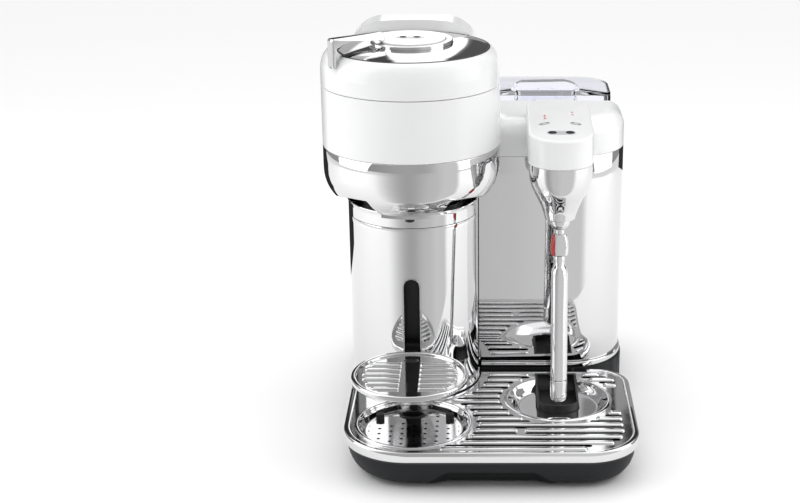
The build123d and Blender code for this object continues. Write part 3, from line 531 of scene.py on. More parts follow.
def makeLever():
    # a turned ring, and a side outline carried across the width of the blade, then turned about the head
    ringLow, ringHigh = boxMm("lever_ring")
    outer = (ringHigh[0] - ringLow[0]) / 2
    top = ringHigh[2]
    ring = roundPath([(34.6, top - 7, 0), (outer, top - 7, 0), (outer, top, 0.8), (34.6, top, 0.4)], steps=4,
                     support=0.1)
    makePiece("leverRingSkin", [(latheGrid(ring, (headX, headY)), True, True)], "polished_steel", "lever",
              ["lever_ring"])
    bladeHigh = boxMm("lever_blade")[1]
    high = bladeHigh[2]
    legOut = headRadius + 3.0
    corners = [
        (31.0, high - 8.5, 1.0), (78.0, high - 15.5, 9.0), (legOut - 4.6, high - 19.0, 0.6),
        (legOut - 3.6, high - 28.0, 0.5), (legOut - 1.6, high - 28.0, 0.6), (legOut, high - 26.0, 0.8),
        (legOut, high, 2.2), (31.0, high, 3.0)]
    rows = []
    half, edge = lever["width"] / 2, lever["edge"]
    for inset, across in ((edge, -half), (edge * 0.3, -half + edge * 0.3), (0, -half + edge),
                          (0, half - edge),
                          (edge * 0.3, half - edge * 0.3), (edge, half)):
        flat = roundPath(insetCorners(corners, inset), steps=5, support=0.2)
        rows.append(np.column_stack([flat[:, 0], np.full(len(flat), across), flat[:, 1]]))
    grid = np.stack(rows)
    turn = math.radians(lever["angle"])
    x = headX + grid[..., 0] * math.cos(turn) - grid[..., 1] * math.sin(turn)
    y = headY + grid[..., 0] * math.sin(turn) + grid[..., 1] * math.cos(turn)
    makePiece("leverBladeSkin", [(np.stack([x, y, grid[..., 2]], axis=-1), False, True)], "polished_steel",
              "lever", ["lever_blade"], 40.0, True)


makeColumn()
makeCollar()
makeBowl()
makeHead()
makeLever()
print("column and head made")

rimLow, rimHigh = boxMm("tray_rim")
plateHigh = boxMm("drip_plate")[1]
trayLeft, trayRight, trayFront, trayRear = rimLow[0], rimHigh[0], rimLow[1], rimHigh[1]
plateTop = plateHigh[2]
tray = {"leftCorner": 64.0, "rightCorner": 52.0, "rearCorner": 34.0, "relief": columnRadius + 2.6,
        "horn": columnY - 40.0}
dishLow = boxMm("coffee_dish")[0]
milkLow, milkHigh = boxMm("milk_dish")
milkX = (milkLow[0] + milkHigh[0]) / 2
milkRadius = (milkHigh[0] - milkLow[0]) / 2
milkY = milkLow[1] + milkRadius
coffee = {"x": columnX + 3.0, "y": columnY - 120.0, "radius": 54.0, "relief": tray["relief"] + 2.5}


def trayFrontPath(inset, rearEnd):
    # open line from the horn beside the column, round the front and up to the rear edge
    return roundPath([
        (trayLeft + inset, tray["horn"], 0), (trayLeft + inset, trayFront + inset,
                                              tray["leftCorner"] - inset),
        (trayRight - inset, trayFront + inset, tray["rightCorner"] - inset),
        (trayRight - inset, trayRear - inset, tray["rearCorner"] - inset), (rearEnd, trayRear - inset, 0)],
        closed=False, steps=20)


def makeTrayRim():
    # the rounded section of the rim carried round the outline of the tray
    low, top = rimLow[2], rimHigh[2]
    section = roundPath([
        (3.2, low, 0.5), (0.0, low, 1.6), (0.0, top, 2.9), (7.0, top, 2.6), (7.6, plateTop - 2.4, 0.8),
        (10.0, plateTop - 2.8, 0.3), (10.0, plateTop - 4.2, 0.3), (3.2, plateTop - 4.2, 0.5)], steps=5,
                        support=0.2)
    rearEnd = trayRight - tray["rearCorner"] - 8.0

    def edgePath(inset):
        return trayFrontPath(inset, rearEnd)

    grid = sweepGrid(edgePath, section).transpose(1, 0, 2)
    makePiece("trayRimSkin", [(grid, False, True)], "polished_steel", "tray", ["tray_rim"],
              40.0, True)
    groove = [(4.5, low - 2.6), (2.6, low - 2.4), (2.4, low + 0.4), (4.5, low + 0.4)]
    grid = sweepGrid(edgePath, groove).transpose(1, 0, 2)
    makePiece("trayGroove", [(grid, False, True)], "black_plastic", "tray", (), 40.0, True)


pan = {"notchLow": 63.5, "notchHigh": 40.0, "notchHeight": 16.4, "notchDepth": 17.0, "floor": 9.0}


def trayOutline(inset, frontPoints=90):
    # the tray's whole outline: round the front, along the rear, and back round the column
    relief = tray["relief"] + 0.3 + inset
    horn = tray["horn"] - inset
    path = roundPath([
        (trayLeft + inset, horn, 0), (trayLeft + inset, trayFront + inset, tray["leftCorner"] - inset),
        (trayRight - inset, trayFront + inset, tray["rightCorner"] - inset),
        (trayRight - inset, trayRear - inset, tray["rearCorner"] - inset),
        (columnX + relief, trayRear - inset, 0)], closed=False, steps=20)
    middle = (trayLeft + trayRight) / 2
    reach = pan["notchLow"] + 3
    split = 1 + 1 + 21 + 1
    across = np.linspace(middle - reach, middle + reach, frontPoints)
    bottom = np.column_stack([across, np.full(frontPoints, trayFront + inset)])
    last = -math.pi + math.asin((columnY - horn) / relief)
    turned = np.linspace(0.0, last, 50)
    arc = np.column_stack([columnX + relief * np.cos(turned), columnY + relief * np.sin(turned)])
    return np.vstack([path[:split], bottom, path[split:], arc])


def makeTrayPan():
    # outer wall down to the notch line, a step back over the notch, the recessed wall, and the inner basin
    low, high = boxMm("drip_pan")
    bottom, top = low[2], high[2]
    middle = (trayLeft + trayRight) / 2
    line = smoothCurve([(4.0, top), (4.1, top - 5), (5.0, top - 11), (7.4, top - 17.5), (11.2, top - 23.2),
                        (15.6, top - 26.8), (19.0, bottom)], 6)
    base = trayOutline(0.0)
    isFront = np.abs(base[:, 1] - trayFront) < 0.01
    share = np.clip((pan["notchLow"] - np.abs(base[:,
                                                   0] - middle)) / (pan["notchLow"] - pan["notchHigh"]), 0, 1)
    share = np.where(isFront, 0.55 * share + 0.45 * share * share * (3 - 2 * share), 0.0)
    notch = bottom + pan["notchHeight"] * share
    steps = np.linspace(0, 1, 26)
    rows = []
    for step in steps:
        height = top + (notch - top) * step
        inset = np.interp(height, line[::-1, 1], line[::-1, 0])
        levels = np.linspace(0, 20, 11)
        stack = np.stack([trayOutline(level) for level in levels])
        place = np.stack([np.stack([np.interp(inset[i], levels, stack[:, i, axis]) for axis in (0, 1)])
                          for i in range(len(base))])
        rows.append(np.column_stack([place, height]))
    outer = np.stack(rows)
    back = outer[-1].copy()
    back[:, 1] += np.where(isFront, pan["notchDepth"] * share, 0.0)
    recess = back.copy()
    recess[:, 2] = bottom
    underside = closeUp(np.stack([recess]), toFirst=False)
    basin = sweepGrid(trayOutline, [(4.0, top), (6.5, top)])
    well = sweepGrid(trayOutline, [(6.5, top), (8.0, pan["floor"] + 12), (22.0, pan["floor"] + 11)])
    wellFloor = closeUp(well, toFirst=False)
    grid = np.concatenate([wellFloor[::-1], basin[:1], outer, back[None], recess[None], underside[1:]])
    makePiece("trayPanSkin", [(grid, False, True)], "dark_plastic", "tray", ["drip_pan"],
              38.0)


rib = {"width": 7.4, "height": 2.0, "pitch": 13.2, "first": 18.0, "shortest": 12.0}


def capsuleGrid(x0, x1, y, base, width, height):
    # a bar with a half-round top and round ends, lying along x
    half = width / 2
    turned = np.linspace(0, math.pi / 2, 7)
    stations = np.concatenate([x0 + half - half * np.cos(turned), [x0 + half + 0.4, x1 - half - 0.4],
                               x1 - half + half * np.sin(turned)])
    size = np.concatenate([np.sin(turned), [1, 1], np.cos(turned)])
    size = np.maximum(size, 0.001)
    angles = np.linspace(0, math.pi, 13)
    yy = y + half * size[:, None] * np.cos(angles)[None]
    zz = base + height * size[:, None] * np.sin(angles)[None] ** 0.9
    xx = np.broadcast_to(stations[:, None], yy.shape)
    return np.stack([xx, yy, zz], axis=-1)


def cutSpan(spans, low, high):
    # what lies below low or above high, without the stretches that are too short for a rib
    left = [(a, min(b, low)) for a, b in spans if a < low]
    right = [(max(a, high), b) for a, b in spans if b > high]
    return [(a, b) for a, b in left + right if b - a > rib["shortest"]]


def spansAt(y):
    # the stretches of plate along one row that are clear of the dishes, the well and the column
    inset = 14.0
    reachRight = trayRight - inset
    corner = tray["rightCorner"] - inset
    over = (trayFront + inset + corner) - y
    if over > 0:
        reachRight -= corner - math.sqrt(max(corner ** 2 - min(over, corner) ** 2, 0.0))
    corner = tray["rearCorner"] - inset
    over = y - (trayRear - inset - corner)
    if over > 0:
        reachRight -= corner - math.sqrt(max(corner ** 2 - min(over, corner) ** 2, 0.0))
    spans = [(columnX + 4.0, reachRight)]
    for x, middle, radius in ((coffee["x"], coffee["y"], coffee["radius"] + 7.5),
                              (milkX, milkY, milkRadius + 6.5),
                              (columnX, columnY, tray["relief"] + 8.5)):
        across = radius ** 2 - (y - middle) ** 2
        if across > 0:
            spans = cutSpan(spans, x - math.sqrt(across), x + math.sqrt(across))
    if y > milkY:
        spans = cutSpan(spans, milkX - 27.0, milkX + 27.0)
    return spans


def makeRibs():
    # bars one pitch apart, each on a stretch of plate that its row has free; one row is split in the middle
    grids = []
    y = trayFront + rib["first"] - rib["pitch"] / 2
    row = 0
    while y < trayRear - 10:
        spans = spansAt(y)
        if row == 3:
            middle = milkX - 38.0
            spans = [piece for a, b in spans for piece in ((a, min(b, middle - 2.5)),
                                                           (max(a, middle + 2.5), b))
                     if piece[1] - piece[0] > 8]
        for a, b in spans:
            grids.append((capsuleGrid(a, b, y, plateTop, rib["width"], rib["height"]), False, True))
        y += rib["pitch"]
        row += 1
    makePiece("plateRibs", grids, "satin_steel", "tray", (), 50.0)


def coffeeOutline(inset):
    # round dish; behind, the clearance round the column takes a bite out of it
    angles = np.linspace(0, 2 * math.pi, 240, endpoint=False)
    ways = np.column_stack([np.cos(angles), np.sin(angles)])
    reach = np.full(len(angles), coffee["radius"] - inset)
    toColumn = np.array([columnX - coffee["x"], columnY - coffee["y"]])
    along = ways @ toColumn
    radius = coffee["relief"] + inset
    inside = along ** 2 - (toColumn @ toColumn - radius ** 2)
    hit = np.where((inside > 0) & (along > 0), along - np.sqrt(np.maximum(inside, 0)), 1e9)
    sharp = 1.6
    reach = -sharp * np.log(np.exp(-reach / sharp) + np.exp(-np.minimum(hit, 500) / sharp))
    return np.column_stack([coffee["x"] + ways[:, 0] * reach, coffee["y"] + ways[:, 1] * reach])


def makeDishes():
    # the lip of the coffee dish is a rounded section carried along its outline
    floor = dishLow[2] + 1.5
    lip = roundPath([(-3.4, plateTop - 0.6, 0.3), (-2.6, plateTop + 1.6, 1.3), (0.2, plateTop + 1.7, 1.4),
                     (2.8, plateTop - 3.0, 3.0), (7.5, floor + 0.1, 3.5), (10.5, floor + 0.05, 0.05),
                     (7.0, floor - 0.9, 0.5), (1.2, plateTop - 3.2, 1.0), (-0.4, plateTop - 0.6, 0.3)],
                    steps=6,
                    support=0.15)
    makePiece("coffeeDishLip", [(sweepGrid(coffeeOutline, lip), True, True)], "polished_steel", "tray",
              (), 45.0)
    makeMilkDish(milkHigh[2])


milk = {"purgeHalf": 21.3, "purgeFront": 14.3, "floorRadius": 37.0, "floor": 32.2}


def makeMilkDish(top):
    # rays from the middle run from the edge of the purge opening out to the rolled lip
    side = milk["purgeHalf"]
    limit = math.acos(side / (milkRadius + 0.4))
    angles = np.linspace(math.pi - limit, 2 * math.pi + limit, 240)
    cosine, sine = np.cos(angles), np.sin(angles)
    straight = side / np.maximum(np.abs(cosine), 1e-6)
    a, b = side, milk["purgeFront"]
    qa = cosine ** 2 / a ** 2 + sine ** 2 / b ** 2
    qb = 4 * sine / b ** 2
    qc = 4 / b ** 2 - 1
    curved = (-qb + np.sqrt(np.maximum(qb ** 2 - 4 * qa * qc, 0))) / (2 * qa)
    inner = np.where(straight * sine > -2.0, straight, curved)
    profile = smoothCurve([
        (0, milk["floor"]), (20, milk["floor"] + 0.1), (milk["floorRadius"], milk["floor"] + 0.5),
        (milk["floorRadius"] + 4.5, milk["floor"] + 2.4), (milk["floorRadius"] + 8.6, milk["floor"] + 6.6),
        (milkRadius - 3.2, plateTop - 0.2), (milkRadius - 1.2, top + 0.5), (milkRadius + 0.8, top + 0.3),
        (milkRadius + 2.4, plateTop + 0.1)], 8)
    share = np.linspace(0, 1, 60)[:, None]
    outer = milkRadius + 2.4
    radius = inner[None] * (1 - share) + outer * share
    height = np.interp(radius, profile[:, 0], profile[:, 1])
    grid = np.stack([milkX + radius * cosine, milkY + radius * sine, height], axis=-1)
    piece = makePiece("milkDishSkin", [(grid, False, False)], "polished_steel", "tray",
                      ["milk_dish"], 50.0)
    wall = piece.modifiers.new("wall", "SOLIDIFY")
    wall.thickness = 0.0009
    wall.offset = -1.0
    across = np.linspace(0, 2 * math.pi, 48, endpoint=False)
    place = np.array([milkX, milkY - 31.5])
    oval = np.column_stack([np.cos(across) * 12.0, np.sin(across) * 4.2])
    bezel = [(1.18, milk["floor"] + 0.2), (1.12, milk["floor"] + 1.5), (1.0, milk["floor"] + 1.6),
             (0.94, milk["floor"] + 0.5)]
    grid = np.stack([np.column_stack([place + oval * scale, np.full(48, height)]) for scale, height in bezel])
    makePiece("drainBezel", [(grid, True, True)], "polished_steel", "tray", (), 40.0)
    # a closed black oval disc sits where the drain opening is: painted shade for the dark inside of the opening
    drainShadeDisc = [(0.96, milk["floor"] + 0.1), (0.96, milk["floor"] + 0.75), (0.5, milk["floor"] + 0.6)]
    grid = np.stack([np.column_stack([place + oval * scale, np.full(48, height)]) for scale, height in drainShadeDisc])
    makePiece("drainMouth", [(closeUp(grid), False, True)], "black_plastic", "tray", (),
              40.0)
    mark = [(0.42, plateTop), (0.42, plateTop + 0.7), (0.34, plateTop + 1.0), (0.15, plateTop + 0.8)]
    place = np.array([milkX, milkY - milkRadius - 7.2])
    grid = np.stack([np.column_stack([place + oval * scale, np.full(48, height)]) for scale, height in mark])
    makePiece("plateStud", [(closeUp(grid), False, True)], "polished_steel", "tray", (),
              40.0)


supportLow, supportHigh = boxMm("support_rim")
supportX, supportY = (supportLow[0] + supportHigh[0]) / 2, (supportLow[1] + supportHigh[1]) / 2
supportRadius = (supportHigh[0] - supportLow[0]) / 2
support = {"rim": 5.0, "barWidth": 5.6, "barHeight": 1.7, "pitch": 11.0, "gapHalf": 8.5}


def makeSupport():
    # a turned rim, and bars on both sides of its gap, whose reach is the half chord of the circle inside it
    low, high = supportLow[2], supportHigh[2]
    ring = roundPath([(supportRadius - support["rim"], low, 1.6), (supportRadius, low, 2.2),
                      (supportRadius, high, 2.2), (supportRadius - support["rim"], high, 1.8)], steps=7,
                     support=0.1)
    makePiece("supportRimSkin", [(latheGrid(ring, (supportX, supportY)), True, True)], "polished_steel",
              "cup_support", ["support_rim"])
    floorHigh = boxMm("support_plate")[1]
    grids = []
    for row in range(-3, 3):
        y = (row + 0.5) * support["pitch"] - 3
        inner = supportRadius - support["rim"] - 3.0
        if abs(y) > inner - 6:
            continue
        reach = math.sqrt(inner ** 2 - y ** 2) - 2.0
        for sign in (-1, 1):
            ends = sorted((supportX + sign * support["gapHalf"], supportX + sign * reach))
            grids.append((capsuleGrid(ends[0], ends[1], supportY + y, floorHigh[2], support["barWidth"],
                                      support["barHeight"]), False, True))
    makePiece("supportBars", grids, "satin_steel", "cup_support", (), 50.0)


makeTrayRim()
makeTrayPan()
makeRibs()
makeDishes()
makeSupport()
print("tray and cup support made")

towerLow, towerHigh = boxMm("tower_shell")
coverLow, coverHigh = boxMm("tower_cover")
rearHigh = boxMm("rear_shell")[1]
tower = {"frontCorner": 55.0, "rearCorner": 12.0, "left": rearHigh[0] + 0.3, "footGrow": 1.6, "round": 17.0}


def towerOutline(inset, centre, radius):
    # closed plan: front, big round corner, side, rear, and a bite round the column or the head
    left, front = tower["left"] + inset, towerLow[1] + inset
    bite = radius + inset
    startX = centre[0] + math.sqrt(max(bite ** 2 - (front - centre[1]) ** 2, 0.0))
    endY = centre[1] + math.sqrt(max(bite ** 2 - (left - centre[0]) ** 2, 0.0))
    startX = max(startX, left)
    path = roundPath([
        (startX, front, 0), (towerHigh[0] - inset, front, tower["frontCorner"] - inset),
        (towerHigh[0] - inset, towerHigh[1] - inset, max(tower["rearCorner"] - inset, 0.5)),
        (left, towerHigh[1] - inset, 0), (left, endY, 0)], closed=False, steps=28)
    first = math.atan2(endY - centre[1], left - centre[0])
    last = math.atan2(front - centre[1], startX - centre[0])
    turned = np.linspace(first, last, 24)[1:-1]
    arc = np.column_stack([centre[0] + bite * np.cos(turned), centre[1] + bite * np.sin(turned)])
    return np.vstack([path, arc])


def makeTower():
    # the outline drawn at each (inset, height) of a profile; the cover ends in a quarter round
    def plainOutline(inset):
        return towerOutline(inset, (columnX, columnY), columnRadius + 2.3)

    def headOutline(inset):
        return towerOutline(inset, (headX, headY), headRadius + 0.6)

    low, high = towerLow[2], towerHigh[2]
    levels = [(2.0, low), (0.3, low), (0.0, low + 0.4), (0.0, low + 30), (0.0, high - 30),
              (0.0, high - 0.4), (0.3, high),
              (2.0, high)]
    makePiece("towerSkin", [(sweepGrid(plainOutline, levels), True, True)], "polished_steel", "base",
              ["tower_shell"], 40.0)
    low, high, bend = coverLow[2], coverHigh[2], tower["round"]
    turned = np.radians(np.linspace(0, 90, 16))
    line = [(3.0, low), (0.4, low), (0.05, low + 0.15), (0.0, low + 0.5), (0.0, low + 1.2),
            (0.0, high - bend - 0.6)]
    line += [(bend * 1.15 * (1 - math.cos(angle)), high - bend + bend * math.sin(angle)) for angle in turned]
    line += [(bend * 1.15 + 1.0, high)]
    grid = closeUp(sweepGrid(headOutline, line))
    makePiece("towerCoverSkin", [(grid, False, True)], "white_gloss", "base",
              ["tower_cover"], 40.0)


def makeFeet():
    # flared foot of the column, open at its slot, and the foot strip round the tower
    footLow, footHigh = boxMm("foot_trim")
    low, high = footLow[2], footHigh[2]
    half = math.degrees(math.asin(column["slotHalf"] / columnRadius))
    flare = roundPath([(columnRadius - 1.5, low, 0), (columnRadius + 2.0, low, 0.4),
                       (columnRadius + 2.0, low + 1.8, 0.8),
                       (columnRadius, high - 0.4, 1.5), (columnRadius, high, 0.2),
                       (columnRadius - 1.5, high, 0)],
                      steps=4, support=0.05)
    grid = latheGrid(flare, (columnX, columnY), 200, half, 360 - half)
    makePiece("columnFootSkin", [(grid.transpose(1, 0, 2), False, True)], "polished_steel", "base",
              ["foot_trim"], 40.0, True)
    grow = tower["footGrow"]
    section = roundPath([(2.0, low, 0), (-grow, low, 0.4), (-grow, high - 0.6, 0.8), (-0.2, high - 0.1, 0.2),
                         (2.0, high - 0.1, 0)], steps=4, support=0.05)

    def openPath(inset):
        return roundPath([
            (columnX + columnRadius + 3.2, towerLow[1] + inset, 0),
            (towerHigh[0] - inset, towerLow[1] + inset, tower["frontCorner"] - inset),
            (towerHigh[0] - inset, towerHigh[1] - inset, tower["rearCorner"] - inset),
            (tower["left"] + 3, towerHigh[1] - inset, 0)], closed=False, steps=24)

    grid = np.stack([np.column_stack([openPath(inset), np.full(len(openPath(inset)), height)])
                     for inset, height in section], axis=1)
    makePiece("towerFootSkin", [(grid, False, True)], "polished_steel", "base", (),
              40.0, True)


capLow, capHigh = boxMm("steam_cap")
ballLow, ballHigh = boxMm("wand_ball")
steamX = (capLow[0] + capHigh[0]) / 2
capRadius = (capHigh[0] - capLow[0]) / 2
steamY = capLow[1] + capRadius
steam = {"bottom": 228.0, "armHalf": 22.5, "bodyRadius": 30.4}


def makeSteamBody():
    # a tapering profile turned about the steam head, and an arm drawn up from its outline
    top = capLow[2] - 0.3
    line = smoothCurve([
        (steam["bodyRadius"], top - 1), (steam["bodyRadius"] - 0.05, top - 8), (29.4, top - 17),
                        (27.2, top - 24.5),
        (24.1, top - 31.5), (20.4, top - 39), (17.3, top - 46), (15.3, top - 52.5)], 8)
    foot = roundPath([(15.3, top - 52.5, 0), (14.4, steam["bottom"], 1.6), (11.2, steam["bottom"], 0.6),
                      (11.0, steam["bottom"] + 5, 0)], closed=False, steps=6, support=0.1)
    profile = np.vstack([[(0, top), (steam["bodyRadius"] - 0.3, top), (steam["bodyRadius"], top - 0.3)],
                         line, foot[1:],
                         [(0, steam["bottom"] + 6)]])
    body = latheGrid(profile, (steamX, steamY), 160)
    half = steam["armHalf"]
    armRear = towerLow[1] - 0.4

    def armOutline(inset):
        return roundPath([(steamX - half + inset, steamY + 4, 0), (steamX + half - inset, steamY + 4, 0),
                          (steamX + half - inset, armRear, 0), (steamX - half + inset, armRear, 0)])

    arm = sweepGrid(armOutline, [(3.0, top - 14), (0.9, top - 13.1), (0, top - 11), (0, top)])
    makePiece("steamBodySkin", [(body, False, True), (closeUp(arm), False, True)], "polished_steel", "base",
              ["steam_body"], 40.0)


leanAngle = math.radians(10.0)
ballCentre = np.array([(ballLow[0] + ballHigh[0]) / 2, (ballLow[1] + ballHigh[1]) / 2, ballHigh[2] - 10.0])
wand = {"radius": 8.15, "length": 178.5, "tip": 22.0}


def alongWand(across, forward, down):
    # across is +X, forward stands square to the wand, down runs along it from the ball's centre
    y = ballCentre[1] - forward * math.cos(leanAngle) - down * math.sin(leanAngle)
    z = ballCentre[2] + forward * math.sin(leanAngle) - down * math.cos(leanAngle)
    return np.stack(np.broadcast_arrays(ballCentre[0] + across, y, z), axis=-1)


def wandLathe(profile, around=96):
    # (radius, distance down) pairs turned about the leaning wand: radius times sine and cosine
    profile = np.asarray(profile, dtype=float)
    angles = np.linspace(0, 2 * math.pi, around, endpoint=False)[None]
    return alongWand(profile[:, :1] * np.sin(angles), profile[:, :1] * np.cos(angles), profile[:, 1:])


def makeWand():
    # ball, tube and tip are profiles turned about the wand
    radius, length = wand["radius"], wand["length"]
    seam = length - wand["tip"]
    ball = [(0.0, -9.9)] + [(9.9 * math.sin(a), -9.9 * math.cos(a)) for a in np.linspace(0.05, 2.66, 30)]
    ball += [(4.4, 10.0), (4.4, 13.2), (0, 13.2)]
    makePiece("wandBallSkin", [(wandLathe(ball), False, True)], "polished_steel", "wand",
              ["wand_ball"], 40.0)
    neck = smoothCurve([(5.2, 35.2), (5.4, 38.0), (4.9, 40.5), (5.6, 43.5), (7.3, 47.0), (radius, 51.5),
                        (radius, 54)], 6)
    tube = np.vstack([[(0, 34.3), (6.2, 34.3), (6.4, 34.8)], neck,
                      [(radius, 60), (radius, seam - 0.5), (radius - 0.45, seam - 0.1), (0, seam - 0.1)]])
    makePiece("wandTubeSkin", [(wandLathe(tube), False, True)], "polished_steel", "wand",
              ["wand_tube"], 36.0)
    ending = [(radius - 5.5 * (1 - math.cos(a)), length - 5.5 + 5.5 * math.sin(a)) for a in np.linspace(0,
            1.5, 10)]
    tip = np.vstack([[(0, seam + 0.3), (radius - 0.5, seam + 0.3), (radius, seam + 0.8),
                      (radius, seam + 3)], ending,
                     [(1.2, length), (1.2, length - 6), (0, length - 6)]])
    makePiece("wandTipSkin", [(wandLathe(tip), False, True)], "polished_steel", "wand",
              ["wand_tip"], 40.0)


def gripRing(scale, down, half, depth, power=3.2, count=64):
    # rounded rectangle: the sum of both sides to a power stays one
    angles = np.linspace(0, 2 * math.pi, count, endpoint=False)
    across = np.sign(np.sin(angles)) * np.abs(np.sin(angles)) ** (2 / power) * half * scale
    forward = np.sign(np.cos(angles)) * np.abs(np.cos(angles)) ** (2 / power) * depth * scale
    return across, forward, np.full(count, down)


def makeGrip():
    # rounded rectangles stacked along the wand, cut by a flat between steel and red
    rows = [gripRing(scale, down, 8.5, 7.5) for scale, down in
            ((0.62, 13.3), (0.72, 13.1), (0.80, 13.6), (0.86, 15.0), (0.96, 19.0), (1.0, 24.0), (1.0, 29.0),
             (0.95, 32.0), (0.90, 33.6), (0.82, 34.0), (0.6, 34.0))]
    across = np.stack([row[0] for row in rows])
    forward = np.stack([row[1] for row in rows])
    down = np.stack([row[2] for row in rows])
    split = -4.6
    steel = alongWand(np.maximum(across, split), forward, down)
    makePiece("gripSkin", [(closeUp(steel), False, True)], "polished_steel", "wand",
              ["wand_grip"], 40.0)
    red = alongWand(np.minimum(across, split - 0.25), forward * 0.97, down)
    makePiece("gripMarkerSkin", [(closeUp(red), False, True)], "red_marker", "wand",
              ["grip_marker"], 40.0)


cap = {"slope": 3.75, "height": 314.0, "edge": 2.5}
slopeAngle = math.radians(cap["slope"])


def capOutline(inset):
    # half circle at the front, straight sides, half ellipse at the rear
    front = np.linspace(math.pi, 2 * math.pi, 60)
    rear = np.linspace(0, math.pi, 60)
    armRear = capHigh[1] - 16.0
    first = np.column_stack([steamX + (capRadius - inset) * np.cos(front),
                             steamY + (capRadius - inset) * np.sin(front)])
    last = np.column_stack([steamX + (capRadius - inset) * np.cos(rear),
                            armRear + (16.0 - inset) * np.sin(rear)])
    return np.vstack([first, last])


def onPanel(x, y, lift):
    # a place on the sloping top: y runs up the slope from the round front's middle
    return np.stack(np.broadcast_arrays(
        steamX + x, steamY + y * math.cos(slopeAngle) - lift * math.sin(slopeAngle),
        cap["height"] + y * math.sin(slopeAngle) + lift * math.cos(slopeAngle)), axis=-1)


def makeCap():
    # the outline goes straight up, then a quarter round (sin and cos of one angle) meets the sloping plane
    low, edge = capLow[2], cap["edge"]
    rows = []
    for inset, height in ((1.0, low), (0.2, low), (0.0, low + 0.3), (0.0, low + 1.0)):
        rows.append(np.column_stack([capOutline(inset), np.full(120, height)]))
    for angle in np.linspace(0, math.pi / 2, 10):
        flat = capOutline(edge * (1 - math.cos(angle)))
        top = cap["height"] + (flat[:, 1] - steamY) * math.tan(slopeAngle)
        rows.append(np.column_stack([flat, top - edge * (1 - math.sin(angle))]))
    makePiece("steamCapSkin", [(closeUp(np.stack(rows)), False, True)], "white_gloss", "base",
              ["steam_cap"], 40.0)


def spot(place, radius, low, high):
    # a low round button with a softened rim, as rows of (radius, lift)
    turned = np.linspace(0, 2 * math.pi, 40, endpoint=False)[None]
    line = np.array([(0.0, low), (radius, low), (radius, high - 0.1), (radius - 0.12, high), (0.0, high)])
    return place(line[:, :1] * np.cos(turned), line[:, :1] * np.sin(turned), line[:, 1:])


def arrowMark(centreX, centreY, turn, length):
    # a three-sided plate: two rows of three corners, closed onto their middles
    corner = np.radians(np.array([0.0, 120.0, 240.0]) + turn)
    rows = [onPanel(centreX + length * np.cos(corner), centreY + length * np.sin(corner), np.full(3, lift))
            for lift in (0.2, 0.47)]
    return closeUp(np.stack(rows))


marks = {"dialSpot": 3.3, "dialReach": 6.6, "pillEnd": 4.1, "pillReach": 8.3}


def makeMarks():
    # plain round spots and three-sided arrows lie on the keys and move with them
    dialTop = boxMm("brew_button")[1][2]

    def onDial(x, y, lift):
        return np.stack(np.broadcast_arrays(headX + x, headY + y, dialTop + lift), axis=-1)

    spots = [(spot(lambda x, y, lift: onDial(x + side * marks["dialReach"], y, lift), marks["dialSpot"],
                   -0.5, 0.25),
              False, True) for side in (-1, 1)]
    makePiece("dialSpots", spots, "dark_plastic", "brew_key")
    ends = [(spot(lambda x, y, lift: onPanel(x + side * marks["pillReach"], y - 5.0, lift),
                  marks["pillEnd"], 0.0, 0.6),
             False, True) for side in (-1, 1)]
    makePiece("pillEnds", ends, "dark_plastic", "centre_key")
    for side, keyBody in ((-1, "left_key"), (1, "right_key")):
        arrows = []
        lean = math.radians(-35 * side)
        for way in (-1, 1):
            arrows.append((arrowMark(side * 15.0 + way * 3.6 * math.cos(lean),
                                     22.0 + way * 3.6 * math.sin(lean),
                                     math.degrees(lean) + (0 if way > 0 else 180), 1.5), False, True))
        makePiece(keyBody.split("_")[0] + "KeyArrows", arrows, "dark_plastic", keyBody,
                  (), 20.0)


tankLow, tankHigh = boxMm("water_tank")
tank = {"wall": 2.5, "floor": 3.0, "recess": 34.5, "rim": 2.2, "recessDeep": 16.0}
tankCentre = (tankLow + tankHigh) / 2


def tankOutline(inset):
    # four sides with four round corners, all moved inwards together
    left, front, right, rear = tankLow[0] + inset, tankLow[1] + inset, tankHigh[0] - inset, tankHigh[1] - inset
    return roundPath([(left, front, 8 - inset / 2), (right, front, 8 - inset / 2), (right, rear, 34 - inset),
                      (left, rear, 22 - inset)], steps=14)


def makeTank():
    # the outline goes up outside and down inside, and closes under and above the floor
    low, top, wall = tankLow[2], tankHigh[2], tank["wall"]
    inside = low + tank["floor"]
    rows = [(wall + 2, low), (0.8, low), (0.2, low + 0.2), (0.0, low + 0.9), (0.0, top - 0.5), (0.3, top),
            (wall - 0.3, top), (wall, top - 0.5), (wall, inside + 0.5), (wall + 0.5, inside),
            (wall + 3, inside)]
    makePiece("waterTankSkin", [(closeUp(sweepGrid(tankOutline, rows)), False, True)], "clear_tank", "tank",
              ["water_tank"], 40.0)


